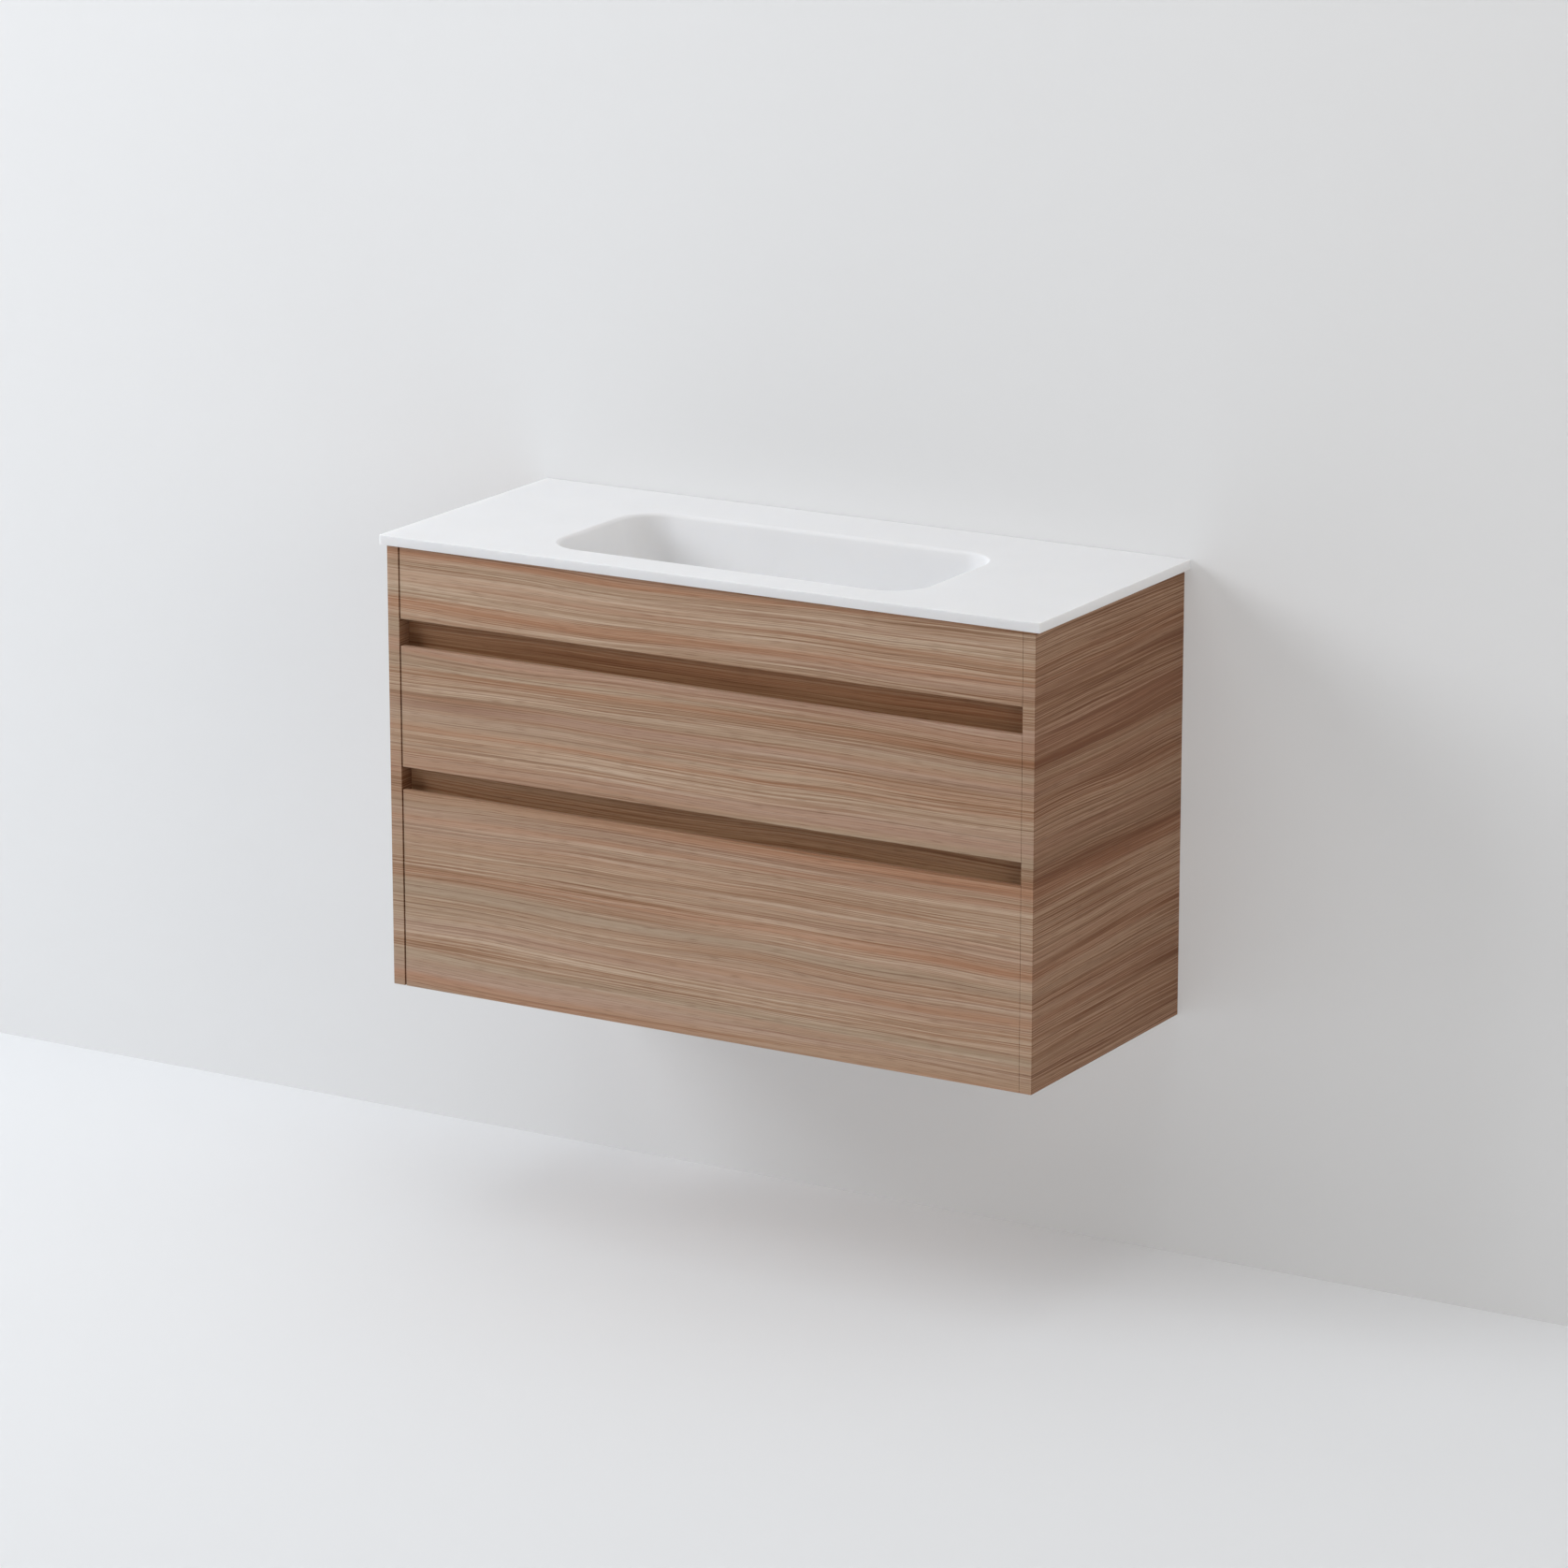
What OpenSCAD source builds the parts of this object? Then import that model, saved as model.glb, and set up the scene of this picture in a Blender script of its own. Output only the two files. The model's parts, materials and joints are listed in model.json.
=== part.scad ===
// Floating vanity: a wall-hung bathroom cabinet with an integrated basin top and two drawers.
// Millimetres, +Z up. The wall is the plane y = 0, and the fronts face -Y.
// The origin lies on the wall, at the centre of the four wall fixings.

/* [Cabinet] */
// Width over the two side panels
cabinet_w = 885; // [800:5:1000]
// Depth from the wall to the plane of the fronts
cabinet_d = 370; // [335:5:450]
// Height of the side panels
cabinet_h = 550; // [495:5:640]
// Thickness of the laminated boards of the carcass and the fronts
board_t = 16; // [15:0.5:18]
// Gap between a front and the side panel beside it
front_gap = 2; // [1:0.5:3]
// Height of the rails at the back of the carcass
back_rail_h = 80; // [70:5:100]

/* [Fronts and finger grooves] */
// Height of the fixed fascia under the top
fascia_h = 89.5; // [85:0.5:110]
// Height of the groove over the upper drawer front
upper_groove_h = 33.5; // [28:0.5:40]
// Height of the upper drawer front
upper_front_h = 150.5; // [145:0.5:170]
// Height of the groove over the lower drawer front
lower_groove_h = 28.5; // [25:0.5:36]
// Depth of the grooves, from the plane of the fronts to the grip rails
groove_d = 21; // [20:0.5:24]
// Height by which a grip rail runs on behind the front below or above it
rail_lap = 10; // [8:1:12]
// Depth of the grip bevel on the upper back edge of each drawer front
grip_bevel_d = 8; // [6:0.5:12]
// Height by which the grip bevel falls towards the back
grip_bevel_h = 4; // [3:0.5:5]

/* [Basin top] */
// Thickness of the slab
top_t = 12; // [10:1:20]
// Overhang of the slab beyond each side panel
top_side_lap = 7.5; // [0:0.5:15]
// Overhang of the slab in front of the fronts
top_front_lap = 5; // [0:0.5:15]
// Width of the bowl between its walls
bowl_w = 500; // [400:10:560]
// Front-to-back size of the bowl between its walls
bowl_d = 220; // [190:5:230]
// Depth of the bowl below the slab's upper face
bowl_depth = 95; // [85:1:105]
// Radius of the bowl's upright corners
bowl_corner_r = 48; // [44:1:60]
// Radius where the bowl's walls meet its floor
bowl_floor_r = 22; // [16:1:24]
// Radius of the bowl's rim
rim_r = 8; // [4:0.5:9]
// Wall thickness of the bowl
shell_t = 10; // [8:0.5:12]
// Free space between the bowl and the rail in front of it
bowl_clear = 3; // [2:0.5:6]
// Fall of the floor towards the waste
bowl_fall = 3; // [2:0.5:4]
// Height of the thicker ring under the bowl, round the waste
drain_boss_h = 6; // [4:0.5:8]

/* [Drawers] */
// Thickness of the drawer sides, backs and recess boards
box_t = 16; // [12:0.5:18]
// Thickness of the drawer bottoms
bottom_t = 8; // [6:0.5:10]
// Free depth between the drawer boxes and the wall, for the pipes
pipe_gap = 44; // [36:1:60]
// Height of the upper drawer's box
upper_box_h = 118; // [100:1:120]
// Free height between the bottom panel and the lower drawer's box
lower_box_gap = 21; // [12:1:50]
// Clear width of the recess round the waste
recess_w = 200; // [160:5:260]
// Clear depth of the recess in front of the waste's axis
recess_front = 70; // [60:1:80]

/* [Runners] */
// Length by which the runners are shorter than the drawer boxes
runner_short = 10; // [6:1:40]
// Length by which the travel of a drawer is shorter than its runners
travel_short = 20; // [10:5:80]
// Height of the cabinet member
runner_h = 45; // [40:1:50]
// Room for a runner between a drawer side and the side panel
runner_space = 13; // [12.7:0.1:14]
// Thickness of the runners' sheet steel
runner_t = 1.2; // [1:0.1:1.4]

/* [Wall fixings and waste] */
// Horizontal distance between the wall fixings
fixing_w = 720; // [600:10:760]
// Height of the wall fixings' holes above the underside and below the slab
fixing_edge = 48; // [44:1:56]
// Radius of the wall fixings' holes
fixing_r = 4.2; // [3:0.1:5.2]
// Outer radius of the waste's thread
waste_r = 20.95; // [18:0.05:21]
// Length of the waste, with its flange
waste_l = 65; // [60:1:75]
// Travel of the plug
plug_travel = 8; // [6:0.5:9]

/* [Hidden] */
$fn = 64;
cut = 1; // how far a cutter runs past the face that it opens

// Colours
wood_colour = "#A98A72";
top_colour = "#F4F4F2";
box_colour = "#D5D3CE";
steel_colour = "#B9BCC0";
chrome_colour = "#D8DADC";
plastic_colour = "#E4E4E2";
rubber_colour = "#3A3A3C";
dowel_colour = "#D9C29A";

// Clearances
fit = 0.05;       // round a dowel, bolt, screw or nut in its bore
end_gap = 0.25;   // beyond the end of a dowel, bolt or screw
run_gap = 0.3;    // between two members of a runner, or between a groove and its board
box_gap = 5;      // between a drawer box and the rail over or under it

// Carcass
side_x = cabinet_w / 2;             // outer face of a side panel
inner_x = side_x - board_t;         // inner face of a side panel
top_z = cabinet_h / 2;              // upper edge of the carcass and underside of the slab
base_z = -cabinet_h / 2;            // lower edge of the carcass
front_y = -cabinet_d;               // plane of the fronts
front_back_y = front_y + board_t;   // back of the fronts
front_x = inner_x - front_gap;      // side edge of the fronts

// Heights of the fronts and grooves, from the slab down
fascia_z = top_z - fascia_h;
upper_front_z = fascia_z - upper_groove_h;
upper_front_low_z = upper_front_z - upper_front_h;
lower_front_z = upper_front_low_z - lower_groove_h;

// Grip rails
rail_y = front_y + groove_d;
rail_back_y = rail_y + board_t;
upper_rail_low_z = upper_front_z - rail_lap;
lower_rail_z = upper_front_low_z + rail_lap;
lower_rail_low_z = lower_front_z - rail_lap;
back_rail_y = -board_t;
back_rail_low_z = base_z + board_t;

// Basin top
slab_z = top_z + top_t;
slab_d = cabinet_d + top_front_lap;
slab_x = side_x + top_side_lap;
bowl_front_y = rail_back_y + bowl_clear + shell_t;
bowl_y = bowl_front_y + bowl_d / 2;
bowl_floor_z = slab_z - bowl_depth;
bowl_under_z = bowl_floor_z - shell_t;
bowl_under_r = bowl_floor_r + 4;
fall_r = bowl_d / 2 - bowl_floor_r;

// Waste
flange_r = waste_r + 10.5;
flange_t = 1.8;
seal_t = 0.8;
under_seal_t = 4;
nut_h = 9;
nut_flats = 2 * waste_r + 12;
waste_wall = 3.4;
waste_bore = waste_r + 1.5;
drain_boss_r = flange_r + 5;
flange_z = bowl_floor_z - bowl_fall;
seat_z = flange_z - flange_t - seal_t;
boss_z = bowl_under_z - drain_boss_h;
nut_z = boss_z - under_seal_t;
waste_low_z = flange_z - waste_l;
spigot_l = 26;
relief_h = 2;
relief_d = 1;
bridge_h = 5;
bridge_arm = 3;
bridge_z = nut_z - bridge_h;
hub_r = 7;
stud_r = 3;
barrel_r = 6;
stem_r = 3;
cap_r = flange_r - 5;
cap_t = 4.5;
cap_gap = 0.3;
cap_z = flange_z + cap_gap;
barrel_z = cap_z - 2;
stem_hold = 6.3;       // length of the stem that stays in its barrel when the plug is up
stem_low_z = barrel_z - stem_hold - plug_travel;

// Dowels, cams and screws
dowel_r = 4;
dowel_l = 30;
dowel_side = 10;      // depth in the panel that takes the shorter end
cam_r = 7.5;
cam_skin = 3.5;       // wood left behind a cam
cam_back = 24;        // from the board's end to the cam's centre
cam_slot = 2;         // how far the bolt's bore runs past the cam's centre
cam_bolt_r = 3;
cam_bolt_side = 11;   // depth of the bolt in the other panel
screw_r = 2;
screw_head_r = 4;
screw_head_h = 2.2;
runner_head_r = 3.6;
runner_head_h = 1.6;
runner_screw_l = 13;
box_screw_r = 2.5;
box_screw_l = 48;

// Joints between the carcass's boards and its side panels, as [y, z] on a panel
bottom_mid_z = base_z + board_t / 2;
rail_mid_y = rail_y + board_t / 2;
back_rail_mid_y = -board_t / 2;
bottom_in = 40;       // from the bottom panel's edges to its dowels
bottom_dowels = [for (y = [front_back_y + bottom_in, -bottom_in]) [y, bottom_mid_z]];
bottom_cams = [for (y = [front_back_y + 2 * bottom_in, -2 * bottom_in]) [y, bottom_mid_z]];
dowel_edge = 16;      // from a rail's edge to its dowel
upper_rail_dowels = [for (z = [top_z - dowel_edge, upper_rail_low_z + dowel_edge]) [rail_mid_y, z]];
upper_rail_cams = [[rail_mid_y, (top_z + upper_rail_low_z) / 2]];
lower_rail_h = lower_rail_z - lower_rail_low_z;
lower_rail_dowels = [[rail_mid_y, lower_rail_z - lower_rail_h / 4]];
lower_rail_cams = [[rail_mid_y, lower_rail_z - lower_rail_h * 3 / 4]];
back_upper_dowels = [[back_rail_mid_y, top_z - dowel_edge]];
back_upper_cams = [[back_rail_mid_y, top_z - back_rail_h + dowel_edge]];
back_lower_dowels = [[back_rail_mid_y, back_rail_low_z + dowel_edge]];
back_lower_cams = [[back_rail_mid_y, back_rail_low_z + back_rail_h - dowel_edge]];
all_carcass_dowels = concat(bottom_dowels, upper_rail_dowels, lower_rail_dowels,
                            back_upper_dowels, back_lower_dowels);
all_carcass_cams = concat(bottom_cams, upper_rail_cams, lower_rail_cams,
                          back_upper_cams, back_lower_cams);

// How a cam's open face is turned: up, towards the wall or towards the front
FACE_UP = [0, 0, 0];
FACE_WALL = [-90, 0, 0];
FACE_FRONT = [90, 0, 0];

// Fascia fixings
spacer_r = 10;
spacer_d = groove_d - board_t;
fascia_fix_x = [for (k = [-1.5, -0.5, 0.5, 1.5]) k * front_x * 0.56];
fascia_fix_z = top_z - fascia_h / 2;
fascia_screw_in = 11;

// Buffers on the grip rails, behind the edges of the drawer fronts and below their grip bevels
buffer_r = 3;
buffer_down = (grip_bevel_h + rail_lap) / 2;
buffer_z = [upper_front_z - buffer_down, upper_front_low_z + rail_lap / 2,
            lower_front_z - buffer_down];
buffer_x = front_x - 20;

// Drawer boxes
box_x = inner_x - runner_space;
box_in_x = box_x - box_t;
box_back_y = -pipe_gap;
back_y = box_back_y - box_t;
upper_box_z = upper_rail_low_z - box_gap;
upper_box_low_z = upper_box_z - upper_box_h;
lower_box_z = lower_rail_low_z - box_gap;
lower_box_low_z = base_z + board_t + lower_box_gap;
groove_in = 8;        // depth of the groove that holds a drawer bottom
bottom_up = 12;       // from a box's lower edge to its bottom panel
recess_x = recess_w / 2;
recess_y = bowl_y - recess_front;
box_dowel_edge = 18;
box_screw_edge = 25;

// Runners: [middle height of the upper pair, middle height of the lower pair]
upper_runner_z = (upper_box_z + upper_box_low_z) / 2;
lower_runner_z = (lower_box_z + lower_box_low_z) / 2;
runner_y = front_back_y + 4;
runner_l = box_back_y - front_back_y - runner_short;
drawer_travel = runner_l - travel_short;
runner_screw_y = [for (k = [0.12, 0.5, 0.88]) runner_y + k * runner_l];
member_lip = 2;       // from the flanges' ends to the drawer side
middle_u = runner_t + 2.2;
drawer_member_u = middle_u + runner_t + 0.8;
middle_half = runner_h / 2 - runner_t - run_gap;
drawer_half = middle_half - runner_t - run_gap;
access_r = 5;
access_y = runner_screw_y[0] + drawer_travel / 2;

// A block between two corners
module block(low, high) {
    translate(low)
        cube(high - low);
}

// Rods along the three axes, from one coordinate to another
module rod_x(x0, x1, y, z, r) {
    translate([x0, y, z])
        rotate([0, 90, 0])
            cylinder(r = r, h = x1 - x0);
}

module rod_y(x, y0, y1, z, r) {
    translate([x, y0, z])
        rotate([-90, 0, 0])
            cylinder(r = r, h = y1 - y0);
}

module rod_z(x, y, z0, z1, r) {
    translate([x, y, z0])
        cylinder(r = r, h = z1 - z0);
}

// The children on the right, and mirrored on the left
module both_sides() {
    children();
    mirror([1, 0, 0])
        children();
}

// Joint fittings, in a frame with the board's end at the origin. The bolt points along +X,
// out of the board. The cam opens towards +Z, on the board's face at half its thickness t.
module cam_disc(t) {
    difference() {
        rod_z(-cam_back, 0, cam_skin - t / 2, t / 2, cam_r);
        rod_x(-cam_back - cam_slot, cut - cam_back + cam_r, 0, 0, cam_bolt_r + fit);
    }
}

module cam_bolt() {
    rod_x(end_gap - cam_back - cam_slot, cam_bolt_side, 0, 0, cam_bolt_r);
}

// What the cam and its bolt take out of the two boards
module cam_bores(t) {
    rod_z(-cam_back, 0, cam_skin - t / 2 - end_gap, t / 2 + cut, cam_r + fit);
    rod_x(-cam_back, cam_bolt_side + end_gap, 0, 0, cam_bolt_r + fit);
}

module dowel(extra = 0, around = 0) {
    rod_x(dowel_side - dowel_l - extra, dowel_side + extra, 0, 0, dowel_r + around);
}

// Carcass joints: the children at each [y, z], on the right side panel's inner face
module at_panel(points, turn = FACE_UP) {
    for (p = points)
        translate([inner_x, p[0], p[1]])
            rotate(turn)
                children();
}

module carcass_joint_bores(dowels, cams, turn) {
    both_sides() {
        at_panel(dowels)
            dowel(end_gap, fit);
        at_panel(cams, turn)
            cam_bores(board_t);
    }
}

// Basin top -----------------------------------------------------------------------------------

// The children's profile carried round a rectangle of size w by d with corners of radius r,
// centred on the bowl. The profile has a corner's upright axis at x = 0 and looks outwards.
module carried_round(w, d, r) {
    straight_x = w - 2 * r;
    straight_y = d - 2 * r;
    translate([0, bowl_y, 0]) {
        for (s = [0, 1])
            mirror([s, 0, 0])
                translate([straight_x / 2, straight_y / 2, 0])
                    rotate([90, 0, 0])
                        linear_extrude(straight_y)
                            children();
        for (s = [0, 1])
            mirror([0, s, 0])
                translate([-straight_x / 2, straight_y / 2, 0])
                    rotate([90, 0, 90])
                        linear_extrude(straight_x)
                            children();
        for (sx = [0, 1], sy = [0, 1])
            mirror([sx, 0, 0])
                mirror([0, sy, 0])
                    translate([straight_x / 2, straight_y / 2, 0])
                        rotate_extrude(angle = 90)
                            children();
    }
}

// A block with upright corners of radius r and lower edges of radius f
module tub(w, d, r, f, z0, z1) {
    block([-w / 2 + r, bowl_y - d / 2 + r, z0], [w / 2 - r, bowl_y + d / 2 - r, z1]);
    carried_round(w, d, r) {
        translate([0, z0])
            square([r - f, z1 - z0]);
        translate([0, z0 + f])
            square([r, z1 - z0 - f]);
        translate([r - f, z0 + f])
            circle(r = f);
    }
}

// An upright block with corners of radius r
module well(w, d, r, z0, z1) {
    block([-w / 2 + r, bowl_y - d / 2 + r, z0], [w / 2 - r, bowl_y + d / 2 - r, z1]);
    carried_round(w, d, r)
        translate([0, z0])
            square([r, z1 - z0]);
}

// What rounds the rim: a square less a circle, between the bowl's wall and the slab's face
module rim_cut() {
    carried_round(bowl_w, bowl_d, bowl_corner_r)
        translate([bowl_corner_r, slab_z])
            difference() {
                translate([-cut, -rim_r])
                    square([rim_r + cut, rim_r + cut]);
                translate([rim_r, -rim_r])
                    circle(r = rim_r);
            }
}

module top_slab() {
    color(top_colour)
        difference() {
            block([-slab_x, -slab_d, top_z], [slab_x, 0, slab_z]);
            well(bowl_w, bowl_d, bowl_corner_r, top_z - cut, slab_z + cut);
            rim_cut();
        }
}

// The bowl is bonded to the slab's underside, with its walls flush with the opening
module basin_bowl() {
    color(top_colour)
        difference() {
            union() {
                tub(bowl_w + 2 * shell_t, bowl_d + 2 * shell_t, bowl_corner_r + shell_t,
                    bowl_under_r, bowl_under_z, top_z);
                rod_z(0, bowl_y, boss_z, bowl_under_z + cut, drain_boss_r);
            }
            tub(bowl_w, bowl_d, bowl_corner_r, bowl_floor_r, bowl_floor_z, top_z + cut);
            translate([0, bowl_y, flange_z])
                cylinder(r1 = flange_r + 1, r2 = fall_r, h = bowl_fall);
            rod_z(0, bowl_y, seat_z, bowl_floor_z, flange_r + 1);
            rod_z(0, bowl_y, boss_z - cut, seat_z + cut, waste_bore);
        }
}

// Waste ---------------------------------------------------------------------------------------

module waste_body() {
    color(chrome_colour)
        difference() {
            union() {
                rod_z(0, bowl_y, flange_z - flange_t, flange_z, flange_r);
                difference() {
                    rod_z(0, bowl_y, waste_low_z, flange_z - flange_t / 2, waste_r);
                    rod_z(0, bowl_y, waste_low_z - cut, flange_z + cut, waste_r - waste_wall);
                }
                rod_z(0, bowl_y, bridge_z, bridge_z + bridge_h, hub_r);
                for (turn = [0, 90])
                    translate([0, bowl_y, bridge_z])
                        rotate(turn)
                            translate([-waste_r + waste_wall / 2, -bridge_arm / 2, 0])
                                cube([2 * waste_r - waste_wall, bridge_arm, bridge_h]);
            }
            rod_z(0, bowl_y, flange_z - flange_t - cut, flange_z + cut, waste_r - waste_wall);
            rod_z(0, bowl_y, bridge_z - cut, bridge_z + bridge_h + cut, stud_r + fit);
            difference() {
                rod_z(0, bowl_y, waste_low_z + spigot_l, waste_low_z + spigot_l + relief_h,
                      waste_r + cut);
                rod_z(0, bowl_y, waste_low_z + spigot_l - cut,
                      waste_low_z + spigot_l + relief_h + cut, waste_r - relief_d);
            }
        }
}

module ring_z(z0, z1, r_out, r_in) {
    difference() {
        rod_z(0, bowl_y, z0, z1, r_out);
        rod_z(0, bowl_y, z0 - cut, z1 + cut, r_in);
    }
}

module flange_seal() {
    color(rubber_colour)
        ring_z(seat_z, seat_z + seal_t, flange_r - 1, waste_r + fit);
}

module under_seal() {
    color(rubber_colour)
        ring_z(nut_z, boss_z, drain_boss_r - 2, waste_r + fit);
}

module waste_backnut() {
    color(plastic_colour)
        difference() {
            translate([0, bowl_y, nut_z - nut_h])
                cylinder(r = nut_flats / sqrt(3), h = nut_h, $fn = 6);
            rod_z(0, bowl_y, nut_z - nut_h - cut, nut_z + cut, waste_r + fit);
        }
}

module plug_cartridge() {
    color(plastic_colour)
        difference() {
            union() {
                rod_z(0, bowl_y, bridge_z, bridge_z + bridge_h + cut, stud_r);
                rod_z(0, bowl_y, bridge_z + bridge_h, barrel_z, barrel_r);
            }
            rod_z(0, bowl_y, stem_low_z - end_gap, barrel_z + cut, stem_r + fit);
        }
}

module waste_plug() {
    dome = cap_t / 3;
    color(chrome_colour)
        translate([0, bowl_y, 0])
            rotate_extrude()
                polygon([
                    [0, stem_low_z], [stem_r, stem_low_z], [stem_r, cap_z], [cap_r - dome, cap_z],
                    [cap_r, cap_z + dome], [cap_r, cap_z + 2 * dome],
                    [cap_r - dome, cap_z + cap_t], [0, cap_z + cap_t]
                ]);
}

// Carcass -------------------------------------------------------------------------------------

module side_panel() {
    color(wood_colour)
        difference() {
            block([inner_x, front_y, base_z], [side_x, 0, top_z]);
            at_panel(all_carcass_dowels)
                dowel(end_gap, fit);
            at_panel(all_carcass_cams)
                rod_x(-cut, cam_bolt_side + end_gap, 0, 0, cam_bolt_r + fit);
            for (z = [upper_runner_z, lower_runner_z], y = runner_screw_y)
                rod_x(inner_x - cut, inner_x - runner_t + runner_screw_l + end_gap, y, z,
                      screw_r + fit);
        }
}

module side_panel_right() {
    side_panel();
}

module side_panel_left() {
    mirror([1, 0, 0])
        side_panel();
}

module bottom_panel() {
    color(wood_colour)
        difference() {
            block([-inner_x, front_back_y + front_gap, base_z], [inner_x, 0, base_z + board_t]);
            carcass_joint_bores(bottom_dowels, bottom_cams, FACE_UP);
        }
}

module fascia() {
    color(wood_colour)
        difference() {
            block([-front_x, front_y, fascia_z], [front_x, front_back_y, top_z]);
            for (x = fascia_fix_x)
                rod_y(x, front_back_y - fascia_screw_in - end_gap, front_back_y + cut,
                      fascia_fix_z, screw_r + fit);
        }
}

module fascia_spacers() {
    color(plastic_colour)
        for (x = fascia_fix_x)
            difference() {
                rod_y(x, front_back_y, rail_y, fascia_fix_z, spacer_r);
                rod_y(x, front_back_y - cut, rail_y + cut, fascia_fix_z, screw_r + fit);
            }
}

// A countersunk screw that points towards the front from the back of the upper grip rail
module fascia_screw(around = 0, extra = 0) {
    rod_y(0, front_back_y - fascia_screw_in - extra, rail_back_y, fascia_fix_z, screw_r + around);
    translate([0, rail_back_y - screw_head_h, fascia_fix_z])
        rotate([-90, 0, 0])
            cylinder(r1 = screw_r + around, r2 = screw_head_r + around, h = screw_head_h);
}

module fascia_screws() {
    color(steel_colour)
        for (x = fascia_fix_x)
            translate([x, 0, 0])
                fascia_screw();
}

module upper_grip_rail() {
    color(wood_colour)
        difference() {
            block([-inner_x, rail_y, upper_rail_low_z], [inner_x, rail_back_y, top_z]);
            carcass_joint_bores(upper_rail_dowels, upper_rail_cams, FACE_WALL);
            for (x = fascia_fix_x)
                translate([x, 0, 0])
                    fascia_screw(fit, end_gap);
        }
}

module lower_grip_rail() {
    color(wood_colour)
        difference() {
            block([-inner_x, rail_y, lower_rail_low_z], [inner_x, rail_back_y, lower_rail_z]);
            carcass_joint_bores(lower_rail_dowels, lower_rail_cams, FACE_WALL);
        }
}

module fixing_holes(z) {
    both_sides()
        rod_y(fixing_w / 2, back_rail_y - cut, cut, z, fixing_r);
}

module back_rail_upper() {
    color(wood_colour)
        difference() {
            block([-inner_x, back_rail_y, top_z - back_rail_h], [inner_x, 0, top_z]);
            carcass_joint_bores(back_upper_dowels, back_upper_cams, FACE_FRONT);
            fixing_holes(top_z - fixing_edge);
        }
}

module back_rail_lower() {
    color(wood_colour)
        difference() {
            block([-inner_x, back_rail_y, back_rail_low_z],
                  [inner_x, 0, back_rail_low_z + back_rail_h]);
            carcass_joint_bores(back_lower_dowels, back_lower_cams, FACE_FRONT);
            fixing_holes(base_z + fixing_edge);
        }
}

module carcass_dowels() {
    color(dowel_colour)
        both_sides()
            at_panel(all_carcass_dowels)
                dowel();
}

module carcass_cam_bolts() {
    color(steel_colour)
        both_sides()
            at_panel(all_carcass_cams)
                cam_bolt();
}

module carcass_cam_discs() {
    color(steel_colour)
        both_sides() {
            at_panel(bottom_cams, FACE_UP)
                cam_disc(board_t);
            at_panel(concat(upper_rail_cams, lower_rail_cams), FACE_WALL)
                cam_disc(board_t);
            at_panel(concat(back_upper_cams, back_lower_cams), FACE_FRONT)
                cam_disc(board_t);
        }
}

module front_buffers() {
    color(plastic_colour)
        both_sides()
            for (z = buffer_z)
                rod_y(buffer_x, front_back_y + run_gap, rail_y, z, buffer_r);
}

// Runners -------------------------------------------------------------------------------------

// A sheet-steel channel on the right side, along the runner: its web from u0, its flanges to u1,
// both counted from the side panel towards the drawer
module channel(u0, u1, half, z) {
    t = u1 > u0 ? runner_t : -runner_t;
    x0 = inner_x - u0;
    x1 = inner_x - u1;
    block([min(x0, x0 - t), runner_y, z - half], [max(x0, x0 - t), runner_y + runner_l, z + half]);
    for (s = [-1, 1])
        block([min(x0, x1), runner_y, z + (s > 0 ? half - runner_t : -half)],
              [max(x0, x1), runner_y + runner_l, z + (s > 0 ? half : -half + runner_t)]);
}

module cabinet_member(z) {
    color(steel_colour)
        difference() {
            channel(0, runner_space - member_lip, runner_h / 2, z);
            for (y = runner_screw_y)
                rod_x(inner_x - runner_t - cut, inner_x + cut, y, z, screw_r + fit);
        }
}

// The hole in a middle member lies over the cabinet member's first screw when the drawer is out
module middle_member(z) {
    color(steel_colour)
        difference() {
            channel(middle_u, runner_space - member_lip, middle_half, z);
            rod_x(inner_x - middle_u - runner_t - cut, inner_x - middle_u + cut, access_y, z,
                  access_r);
        }
}

module drawer_member(z) {
    color(steel_colour)
        difference() {
            channel(runner_space, drawer_member_u, drawer_half, z);
            for (y = runner_screw_y)
                rod_x(box_x - cut, box_x + runner_t + cut, y, z, screw_r + fit);
        }
}

module cabinet_member_upper_right() {
    cabinet_member(upper_runner_z);
}

module cabinet_member_upper_left() {
    mirror([1, 0, 0])
        cabinet_member(upper_runner_z);
}

module cabinet_member_lower_right() {
    cabinet_member(lower_runner_z);
}

module cabinet_member_lower_left() {
    mirror([1, 0, 0])
        cabinet_member(lower_runner_z);
}

module middle_member_upper_right() {
    middle_member(upper_runner_z);
}

module middle_member_upper_left() {
    mirror([1, 0, 0])
        middle_member(upper_runner_z);
}

module middle_member_lower_right() {
    middle_member(lower_runner_z);
}

module middle_member_lower_left() {
    mirror([1, 0, 0])
        middle_member(lower_runner_z);
}

module drawer_member_upper_right() {
    drawer_member(upper_runner_z);
}

module drawer_member_upper_left() {
    mirror([1, 0, 0])
        drawer_member(upper_runner_z);
}

module drawer_member_lower_right() {
    drawer_member(lower_runner_z);
}

module drawer_member_lower_left() {
    mirror([1, 0, 0])
        drawer_member(lower_runner_z);
}

module cabinet_member_screws() {
    color(steel_colour)
        both_sides()
            for (z = [upper_runner_z, lower_runner_z], y = runner_screw_y) {
                rod_x(inner_x - runner_t - runner_head_h, inner_x - runner_t, y, z, runner_head_r);
                rod_x(inner_x - runner_t, inner_x - runner_t + runner_screw_l, y, z, screw_r);
            }
}

module drawer_member_screws(z) {
    color(steel_colour)
        both_sides()
            for (y = runner_screw_y) {
                rod_x(box_x + runner_t, box_x + runner_t + runner_head_h, y, z, runner_head_r);
                rod_x(box_x + runner_t - runner_screw_l, box_x + runner_t, y, z, screw_r);
            }
}

module drawer_member_upper_screws() {
    drawer_member_screws(upper_runner_z);
}

module drawer_member_lower_screws() {
    drawer_member_screws(lower_runner_z);
}

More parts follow.
